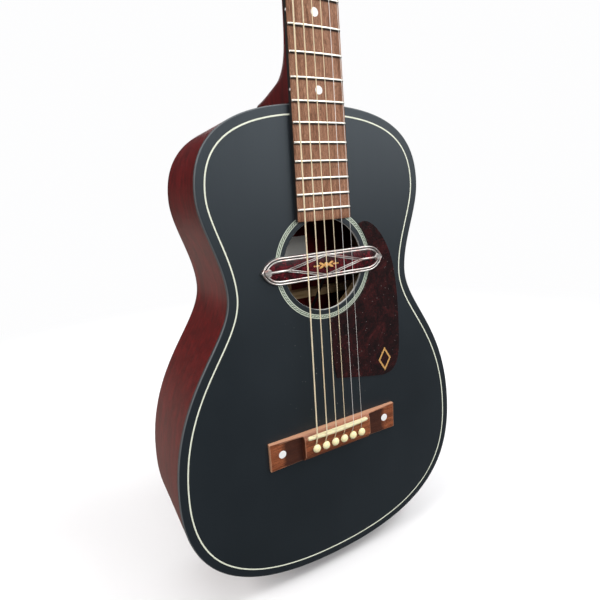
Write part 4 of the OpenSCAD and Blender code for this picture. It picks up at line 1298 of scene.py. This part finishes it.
def bridge_height(x, z):
    from_tail = z - BRIDGE_Z
    from_neck = BRIDGE_DEPTH - from_tail
    out = abs(x)
    share = min(max((out - 39) / (BRIDGE_HALF - 39), 0), 1)     # along the wing
    # the block falls away at the tail edge, and slopes down towards the neck
    fall = (1 - smoothstep(-3.4, 6.6, from_tail)) / (1 - smoothstep(-3.4, 6.6, 0.0))
    block = BRIDGE_TOP - (BRIDGE_TOP - 3.9) * fall
    if from_neck < 5.8:
        block -= (BRIDGE_TOP - 5.7) * (1 - from_neck / 5.8) ** 1.15
    # wings are scooped behind a ridge that runs along the neck edge
    ridge = 6.0 - 2.5 * share ** 0.9
    ridge_at = 1.0 - 0.4 * share
    on_ridge = 1 - smoothstep(ridge_at + 0.1, ridge_at + 1.9, from_neck)
    wing = (2.7 + 0.7 * share ** 1.2) * (1 - on_ridge) + ridge * on_ridge
    blend = smoothstep(38.6, 40.4, out)
    height = block * (1 - blend) + wing * blend
    lip = 5.4 - 2.2 * share
    if from_neck < ridge_at and height > lip:
        height = lip + (height - lip) * (from_neck / ridge_at) ** 0.9
    if from_tail < 1.2:
        height -= (1.2 - from_tail) ** 2 * 0.35
    return height


def bridge_block():
    edge = 0.45
    step = np.linspace(38.2, 40.8, 9)       # close stations where block meets wing
    half, deep = BRIDGE_HALF, BRIDGE_DEPTH
    across = sorted(set(np.round(np.concatenate([
        np.linspace(-half, half, 160), step, -step,
        [half - 0.25, half - 0.6, -half + 0.25, -half + 0.6]]), 3)))
    up = sorted(set(np.round(np.concatenate([
        np.linspace(0, deep, 40), np.linspace(21.5, deep, 26),
        [0.25, 0.6, deep - 0.25, deep - 0.6]]), 3)))
    mesh = Mesh()
    rows = []
    for v in up:
        row = []
        for x in across:
            height = bridge_height(x, BRIDGE_Z + v)
            for gap in (x + half, half - x, v, deep - v):
                if gap < edge:
                    height -= edge * (1 - math.sqrt(max(0, 1 - (1 - gap / edge) ** 2)))
            row.append((x, TOP_Y - height, BRIDGE_Z + v))
        rows.append(mesh.add(row))
    tail, neck = [mesh.add([(x, TOP_Y, BRIDGE_Z + v) for x in across]) for v in (up[0], up[-1])]
    for lower, upper in zip(rows, rows[1:]):
        mesh.band(lower, upper, closed=False)
    for k in range(len(across) - 1):
        mesh.face((tail[k], tail[k + 1], rows[0][k + 1], rows[0][k]))
        mesh.face((rows[-1][k], rows[-1][k + 1], neck[k + 1], neck[k]))
    for end in (0, -1):
        mesh.face([row[end] for row in rows] + [neck[end], tail[end]])
    mesh.face(tail + neck[::-1])
    return mesh.make("bridge_v", "walnut", angle=32, merge=0.001)


def build_bridge():
    bridge = bridge_block()
    # saddle slot and pin holes
    slot_half, slot_radius = 33.8, 1.9
    slot = [(side * slot_half + slot_radius * math.cos(a), SADDLE_Z + slot_radius * math.sin(a))
            for side, start in ((1, -PI / 2), (-1, PI / 2))
            for a in np.linspace(start, start + PI, 14)]
    cutter = Mesh()
    cutter.prism(slot, TOP_Y - 12, TOP_Y - 4.05)
    for i in range(6):
        cutter.prism(circle(2.9, 24, pin_x(i), PIN_Z), TOP_Y - 12, TOP_Y - 0.5)
    cut(bridge, cutter)
    # string ramps: (y from the soundboard, z from the pin)
    ramp = [(-10.0, 0), (-10.0, 6.2), (-8.75, 6.0), (-7.2, 4.2), (-5.0, 3.9), (-5.0, 0)]
    cutter = Mesh()
    for i in range(6):
        half = max(GAUGES[i] / 2 + 0.35, 0.75)
        cutter.loft([[(pin_x(i) + side * half, TOP_Y + y, PIN_Z + z) for y, z in ramp]
                     for side in (-1, 1)])
    cut(bridge, cutter)
    register(bridge, "walnut")


def build_bridge_dots():
    mesh = Mesh()
    for side in (-1, 1):
        def place(u, v, h):
            x, z = side * 61.4 + u, 138.7 + v
            return (x, TOP_Y - bridge_height(x, z) + h, z)
        mesh.lathe([(3.9, 1.6), (3.9, -0.02), (3.8, -0.08), (3.5, -0.11), (2.0, -0.12),
                    (0.8, -0.12)], 48, place)
    mesh.part("bridge_dots_v", "pearl", angle=35)


# (radius, y from the bridge's top face), from the domed head to the foot
PIN_PROFILE = [
    (0.15, -3.42), (0.9, -3.38), (1.8, -3.22), (2.7, -2.86), (3.45, -2.28), (3.95, -1.6),
    (4.2, -1.0), (4.15, -0.6), (3.8, -0.32), (3.1, -0.2), (2.8, -0.1), (2.6, 0.3),
    (2.2, 22.0), (1.2, 24.0), (0.2, 24.0)]


def build_bridge_pins():
    mesh = Mesh()
    for i in range(6):
        mesh.lathe(PIN_PROFILE, 40,
                   lambda x, z, h: (pin_x(i) + x, TOP_Y - BRIDGE_TOP + h, PIN_Z + z))
    mesh.part("bridge_pins_v", "pin_plastic", angle=50)


# ------------------------------------------------------------------ soundhole pickup
# frame section: (inset, height); two bright ribs with a dark groove between them
FRAME_SECTION = [
    (0.0, 0.02), (0.0, 1.9), (0.05, 2.4), (0.25, 2.88), (0.58, 3.18), (0.95, 3.28),
    (1.32, 3.18), (1.62, 2.86), (1.78, 2.4), (1.82, 1.3), (2.42, 1.3), (2.46, 2.2),
    (2.62, 2.66), (2.95, 2.98), (3.32, 3.08), (3.70, 2.98), (4.02, 2.66), (4.16, 2.2),
    (4.16, 0.02)]
# (radius, height) of the screw heads at the frame's ends
SCREW_PROFILE = [
    (3.6, 1.0), (3.6, 2.9), (3.5, 3.25), (3.25, 3.45), (2.95, 3.4), (2.75, 3.15),
    (2.55, 3.1), (2.4, 3.3), (2.0, 3.62), (1.3, 3.86), (0.6, 3.95)]


def pickup_loop():
    """The pickup's outline: a long bar across the soundhole with pointed ends."""
    half = 12.5
    quarter = np.vstack([bezier([(66, 0), (63, 5.4), (59, half), (46, half)], 26),
                         np.c_[np.linspace(46, 0, 12), np.full(12, half)][1:]])
    top = np.vstack([quarter, quarter[::-1][1:] * (-1, 1)])
    return np.vstack([top, top[::-1][1:-1] * (1, -1)]) + np.array([0, HOLE_Z])


def add_bar(mesh, start, end, width, top):
    """A half-round bright bar lying on the pickup between two points of its face."""
    base = 1.6
    start, end = np.array(start, float), np.array(end, float)
    length = np.linalg.norm(end - start)
    along = (end - start) / length
    across = np.array([-along[1], along[0]])
    section = [(-width / 2, base)]
    section += [(-width / 2 * math.cos(a), base + (top - base) * (0.35 + 0.65 * math.sin(a)))
                for a in np.linspace(0, PI, 9)]
    section += [(width / 2, base)]
    rings = []
    for distance, size in ((-0.3, 0.55), (0.0, 0.9), (0.35, 1.0), (length - 0.35, 1.0),
                           (length, 0.9), (length + 0.3, 0.55)):
        centre = start + along * distance
        rings.append([on_top(*(centre + across * u * size), base + (height - base) * size)
                      for u, height in section])
    mesh.loft(rings)


def build_pickup_frame():
    outline = pickup_loop()
    mesh = Mesh()
    mesh.loft([[on_top(x, z, height) for x, z in inset(outline, d)]
               for d, height in FRAME_SECTION], around=True)
    count = len(outline)
    mesh.slots[8 * count:11 * count] = [1] * (3 * count)     # the groove
    mesh.slab(inset(outline, 3.8), 0.02, 1.1, bevel=0.1)
    # a lozenge of paired bars, with one bar out to each end
    tip = 40.5
    lozenge = [(-tip, HOLE_Z), (0, HOLE_Z + 9.5), (tip, HOLE_Z), (0, HOLE_Z - 9.5)]
    for k in range(4):
        start, end = np.array(lozenge[k], float), np.array(lozenge[(k + 1) % 4], float)
        along = (end - start) / np.linalg.norm(end - start)
        shift = np.array([-along[1], along[0]]) * 0.78
        for side in (-1, 1):
            add_bar(mesh, start + shift * side, end + shift * side, 0.95, 3.3)
    for side in (-1, 1):
        add_bar(mesh, (side * 39.6, HOLE_Z), (side * 58.0, HOLE_Z), 2.3, 3.6)
    for side in (-1, 1):
        mesh.lathe(SCREW_PROFILE, 40, lambda x, z, h: on_top(side * 59.6 + x, HOLE_Z + z, h))
    mesh.part("pickup_frame_v", "chrome", "coil_black", angle=50)


def build_pickup_cover():
    mesh = Mesh()
    mesh.slab(inset(pickup_loop(), 3.9), 1.05, 2.2, bevel=0.3)
    mesh.part("pickup_cover_v", "pickup_tortoise")


def build_pickup_ornament():
    """A gilt bud with leaves each side: (x, z from the hole's centre, length, width, angle)."""
    leaves = [(0, 0, 5.0, 5.2, 0)]
    for side in (-1, 1):
        leaves += [(side * 5.0, 1.35, 6.0, 2.1, side * 0.42),
                   (side * 5.0, -1.35, 6.0, 2.1, -side * 0.42),
                   (side * 9.4, 0, 5.0, 1.8, 0), (side * 12.9, 0, 1.6, 1.5, 0)]
    mesh = Mesh()
    t = np.linspace(0, PI, 12)
    for x, z, length, width, angle in leaves:
        upper = np.c_[-length / 2 * np.cos(t), width / 2 * np.sin(t) ** 1.3]
        u, v = np.vstack([upper, -upper[1:-1]]).T
        c, s = math.cos(angle), math.sin(angle)
        mesh.slab(np.c_[u * c - v * s + x, u * s + v * c + HOLE_Z + z], 2.3, 2.58,
                  bevel=0.1, steps=2)
    mesh.part("pickup_ornament", "gold_foil")


# ------------------------------------------------------------------ strings
def soften(path, reach):
    """Rounds the corners of a bent path."""
    points = [np.array(point, float) for point in path]
    result = [points[0]]
    for before, corner, after in zip(points, points[1:], points[2:]):
        back, ahead = before - corner, after - corner
        back_length, ahead_length = np.linalg.norm(back), np.linalg.norm(ahead)
        cut_off = min(reach, back_length * 0.4, ahead_length * 0.4)
        start = corner + back / back_length * cut_off
        end = corner + ahead / ahead_length * cut_off
        for t in np.linspace(0, 1, 5):
            result.append((1 - t) ** 2 * start + 2 * t * (1 - t) * corner + t * t * end)
    result.append(points[-1])
    return result


def build_strings():
    inner_y = TOP_Y + TOP_THICK
    for name, numbers, material in (("strings_wound_v", range(0, 4), "bronze"),
                                    ("strings_plain_v", range(4, 6), "string_steel")):
        mesh = Mesh()
        for i in numbers:
            radius = GAUGES[i] / 2
            side, post = tuner_place(i)
            x = saddle_x(i)
            saddle_y = TOP_Y - SADDLE_HEIGHT + x ** 2 / (2 * BOARD_RADIUS) - radius
            mesh.tube(soften([
                (pin_x(i), inner_y + 4.4, PIN_Z + 3.5), (pin_x(i), TOP_Y - 7.9, PIN_Z + 3.6),
                (x, saddle_y, SADDLE_Z),
                (nut_x(i), board_y(nut_x(i)) - 1.5 - radius, NUT_Z + 0.01),
                on_head(side * (POST_X - 2.5 - radius), WRAP_Y, post)], 1.6), radius, 14)
            # the ball at the string's end, behind the soundboard
            mesh.lathe([(1.0, -1.9), (1.7, -1.8), (1.9, -1.5), (1.9, 1.5), (1.7, 1.8),
                        (1.0, 1.9)], 24,
                       lambda y, z, h: (pin_x(i) + h, inner_y + 4.6 + y, PIN_Z + 4.4 + z))
        mesh.part(name, material, angle=60)


def build_string_coils():
    """Turns round each post, and the short end passing through it."""
    for i, gauge in enumerate(GAUGES):
        side, post = tuner_place(i)
        rise = gauge * 1.06
        turns = max(1.3, 1.5 / rise)
        radius = 2.47 + gauge / 2
        mesh = Mesh()
        mesh.tube([on_head(side * (POST_X - radius * math.cos(2 * PI * t)), WRAP_Y - t * rise,
                           post + radius * math.sin(2 * PI * t))
                   for t in np.linspace(0, turns, int(turns * 30))], gauge / 2, 12)
        mesh.tube([on_head(side * (POST_X + out), y, post + z) for out, y, z in
                   ((0, -11, -3.2), (0, -11, 0), (0, -11.1, 3.6), (0.4, -11.5, 4.6))],
                  gauge / 2 * 0.96, 12)
        mesh.part(f"string_coil_{6 - i}", "bronze" if i < 4 else "string_steel",
                  body=f"tuner_{6 - i}_post", angle=60)


# ------------------------------------------------------------------ tuners
WORM_Y = HEAD_THICK + 1 + 3.3       # key shaft's axis, behind the head's face
WORM_OFFSET = 8.336                 # from the post's axis down to the key shaft's
# (radius, distance outwards from the post) of the key shaft
SHAFT_PROFILE = [
    (0.4, -7.0), (1.2, -7.0), (1.4, -6.8), (1.4, 4.6), (1.5, 4.7), (1.7, 4.9), (1.7, 15.9),
    (2.3, 16.0), (2.6, 16.3), (2.6, 19.2), (2.3, 19.7), (1.6, 20.4), (1.6, 22.0)]


def worm_rings(side, place):
    """A single screw thread, tapering off at both ends."""
    half, pitch, core = 4.5, 2.7, 1.42
    rings = []
    for out in np.linspace(-half, half, 73):
        phase = 2 * PI * out / pitch
        taper = min(1.0, (half - abs(out)) / 0.5 + 0.35)
        ring = []
        for k in range(28):
            a = 2 * PI * k / 28
            wave = math.sin(a) * math.cos(phase) - side * math.cos(a) * math.sin(phase)
            radius = 2.2 + 0.74 * math.tanh(1.5 * wave) / math.tanh(1.5)
            radius = core + (radius - core) * taper
            ring.append(place(radius * math.cos(a), radius * math.sin(a), out))
        rings.append(ring)
    return rings


def button_rings(place):
    """The flattened oval button turned by the fingers."""
    rings = []
    for tilt in np.linspace(-PI / 2 + 0.12, PI / 2 - 0.05, 25):
        c, s = math.cos(tilt), math.sin(tilt)
        wide = min(9.0 * c ** 0.82 * (0.80 + 0.20 * (s + 1) / 2 + 0.12 * c), 9.0)
        thick = min(3.25 * c ** 0.42 * (1.0 - 0.10 * s), 3.3)
        ring = []
        for k in range(40):
            u, v = math.cos(2 * PI * k / 40), math.sin(2 * PI * k / 40)
            ring.append(place(thick * math.copysign(abs(u) ** 0.78, u),
                              wide * math.copysign(abs(v) ** 0.94, v), 25.5 + 7.0 * s))
        rings.append(ring)
    return rings


def build_tuners():
    for i in range(6):
        tuner = f"tuner_{6 - i}"
        side, post = tuner_place(i)

        def place(y, z, out):
            return on_head(side * (POST_X + out), WORM_Y + y, post - WORM_OFFSET + z)

        refine(tuner + "_post", "nickel", 0.14, 2, angle=26)
        mesh = Mesh()
        mesh.lathe(SHAFT_PROFILE, 36, place)
        mesh.loft(worm_rings(side, place))
        mesh.part(tuner + "_shaft", "nickel", body=tuner + "_key", angle=50)
        mesh = Mesh()
        mesh.loft(button_rings(place))
        mesh.part(tuner + "_button", "tuner_key_ivory", body=tuner + "_key",
                  replaces=tuner + "_key", angle=70)


# ------------------------------------------------------------------ stage, in metres
BACKDROP = (0.985, 0.985, 0.99)
FLOOR_SEEN = (0.90, 0.90, 0.905)
# name, place, height aimed at on the z axis, size, watts, colour
LIGHTS = [
    ("front_right", (1.7, -2.5, 1.15), 0.4, (2.2, 1.3), 36, (1, 1, 1)),
    ("key", (1.3, -1.2, 2.5), 0.35, (1.0, 0.9), 34, (1, 1, 1)),
    ("fill", (-0.25, -1.75, 0.85), 0.32, (0.5, 0.5), 6, (1, 1, 1)),
    ("left", (-2.2, -0.25, 1.95), 0.35, (1.4, 1.6), 42, (1.0, 0.96, 0.93)),
    ("top", (0.0, 0.5, 2.8), 0.3, (2.2, 1.8), 17, (1, 1, 1)),
    ("back", (1.1, 2.3, 1.9), 0.4, (1.6, 1.4), 10, (1, 1, 1)),
    ("back_low", (0.5, 2.5, 0.7), 0.4, (1.6, 1.0), 34, (1, 1, 1))]


def floor_material():
    """Pale to the camera and darker to reflections, fading out so no horizon shows."""
    mat = Surface("floor")
    noise = mat.noise(scale=0.002, detail=3.0)
    camera_ray = mat.node("LightPath", output="Is Camera Ray")
    behind = mat.remap(mat.split(mat.point)[1], (-80.0, 60.0), (0.0, 1.0))
    seen = mat.mix(noise, FLOOR_SEEN, dim(FLOOR_SEEN, 1.03))
    unseen = mat.mix(behind, (0.15, 0.155, 0.16), (0.34, 0.28, 0.25))
    diffuse = mat.node("BsdfDiffuse", {"Color": mat.mix(camera_ray, unseen, seen)})
    x, y, _ = mat.split(mat.point)
    far = mat.remap(mat.math("SQRT", x * x + y * y), (550.0, 1500.0), (0.0, 1.0),
                    interpolation_type="SMOOTHSTEP")
    glow = mat.node("Emission", {"Color": BACKDROP, "Strength": 1.0})
    shader = mat.node("MixShader", {0: far * camera_ray, 1: diffuse, 2: glow})
    mat.fill(mat.output, {0: shader})
    return mat.material


def build_floor():
    radius, count = 14.0, 96
    data = bpy.data.meshes.new("floor")
    data.from_pydata([(x, y, 0) for x, y in circle(radius, count).tolist()], [],
                     [list(range(count))])
    floor = bpy.data.objects.new("floor", data)
    floor.location = (0, 0, cad_box[0].z - 0.0004)
    bpy.context.scene.collection.objects.link(floor)
    data.materials.append(floor_material())


def build_world():
    """Even and pale to the camera; a graded room to everything else."""
    world = bpy.data.worlds.new("studio")
    bpy.context.scene.world = world
    world.use_nodes = True
    graph = Graph(world.node_tree)
    output = graph.tree.nodes.new("ShaderNodeOutputWorld")
    _, y, z = graph.split(graph.node("TexCoord", output="Generated"))
    height = graph.scaled(z, by=0.5, plus=0.5)
    front = graph.ramp(height, (0.0, (0.05, 0.05, 0.055)), (0.49, (0.12, 0.12, 0.125)),
                       (0.56, (0.30, 0.30, 0.31)), (0.72, (0.50, 0.505, 0.52)),
                       (1.0, (0.85, 0.86, 0.88)))
    # behind the guitar it is darker, with a warm dim band low down for its flanks to mirror
    back = graph.ramp(height, (0.0, (0.20, 0.15, 0.13)), (0.50, (0.20, 0.15, 0.13)),
                      (0.56, (0.045, 0.04, 0.04)), (1.0, (0.10, 0.10, 0.105)))
    room = graph.mix(graph.remap(y, (-0.25, 0.25), (0.0, 1.0)), front, back)
    shader = graph.node("MixShader", {
        0: graph.node("LightPath", output="Is Camera Ray"),
        1: graph.node("Background", {"Color": room, "Strength": 0.95}),
        2: graph.node("Background", {"Color": BACKDROP, "Strength": 1.0})})
    graph.fill(output, {0: shader})


def build_lights():
    for name, place, aim, (width, height), power, color in LIGHTS:
        light = bpy.data.lights.new(name, "AREA")
        light.shape = "RECTANGLE"
        light.size, light.size_y = width, height
        light.energy = power
        light.color = color
        lamp = bpy.data.objects.new(name, light)
        lamp.location = place
        lamp.rotation_mode = "QUATERNION"
        lamp.rotation_quaternion = (Vector((0, 0, aim)) - Vector(place)).to_track_quat("-Z", "Y")
        bpy.context.scene.collection.objects.link(lamp)
    # a soft wash on the back, kept out of the glancing reflections on the sides
    bpy.data.objects["back_low"].visible_glossy = False


def build_camera():
    data = bpy.data.cameras.new("camera")
    data.sensor_width = 36
    data.lens = 26.543
    data.clip_start = 0.01
    data.clip_end = 100
    camera = bpy.data.objects.new("camera", data)
    bpy.context.scene.collection.objects.link(camera)
    turn = Matrix(((0.87118436, 0.16589755, -0.46207772),
                   (-0.485914, 0.15681653, -0.85982333),
                   (-0.07018116, 0.97359467, 0.21722805)))
    camera.matrix_world = Matrix.Translation((-0.21667, -0.40003, 0.37160)) @ turn.to_4x4()
    bpy.context.scene.camera = camera


make_materials()
dress_cad_pieces()
build_soundboard()
build_purfling()
build_hole_ring("rosette_v", 47.5, 51.8, TOP_Y - 0.06, TOP_Y + 1.0,
                "rope_rosette", "rope_rosette")
# a pale ring on the soundhole's wall, a painted highlight for the glint on the rounded hole edge
build_hole_ring("soundhole_lip", HOLE_RADIUS - 0.06, HOLE_RADIUS + 0.3, TOP_Y + 0.5,
                TOP_Y + TOP_THICK - 0.1, "hole_edge", "cream_purfling")
build_sides()
build_back()
build_guard()
refine_cad_pieces()
build_lining()
build_neck()
build_fingerboard()
build_frets()
build_position_dots()
build_bridge()
build_bridge_dots()
build_bridge_pins()
build_pickup_frame()
build_pickup_cover()
build_pickup_ornament()
build_strings()
build_string_coils()
build_tuners()
build_floor()
build_world()
bpy.context.scene.view_settings.view_transform = "Standard"
bpy.context.scene.view_settings.look = "None"
build_lights()
build_camera()
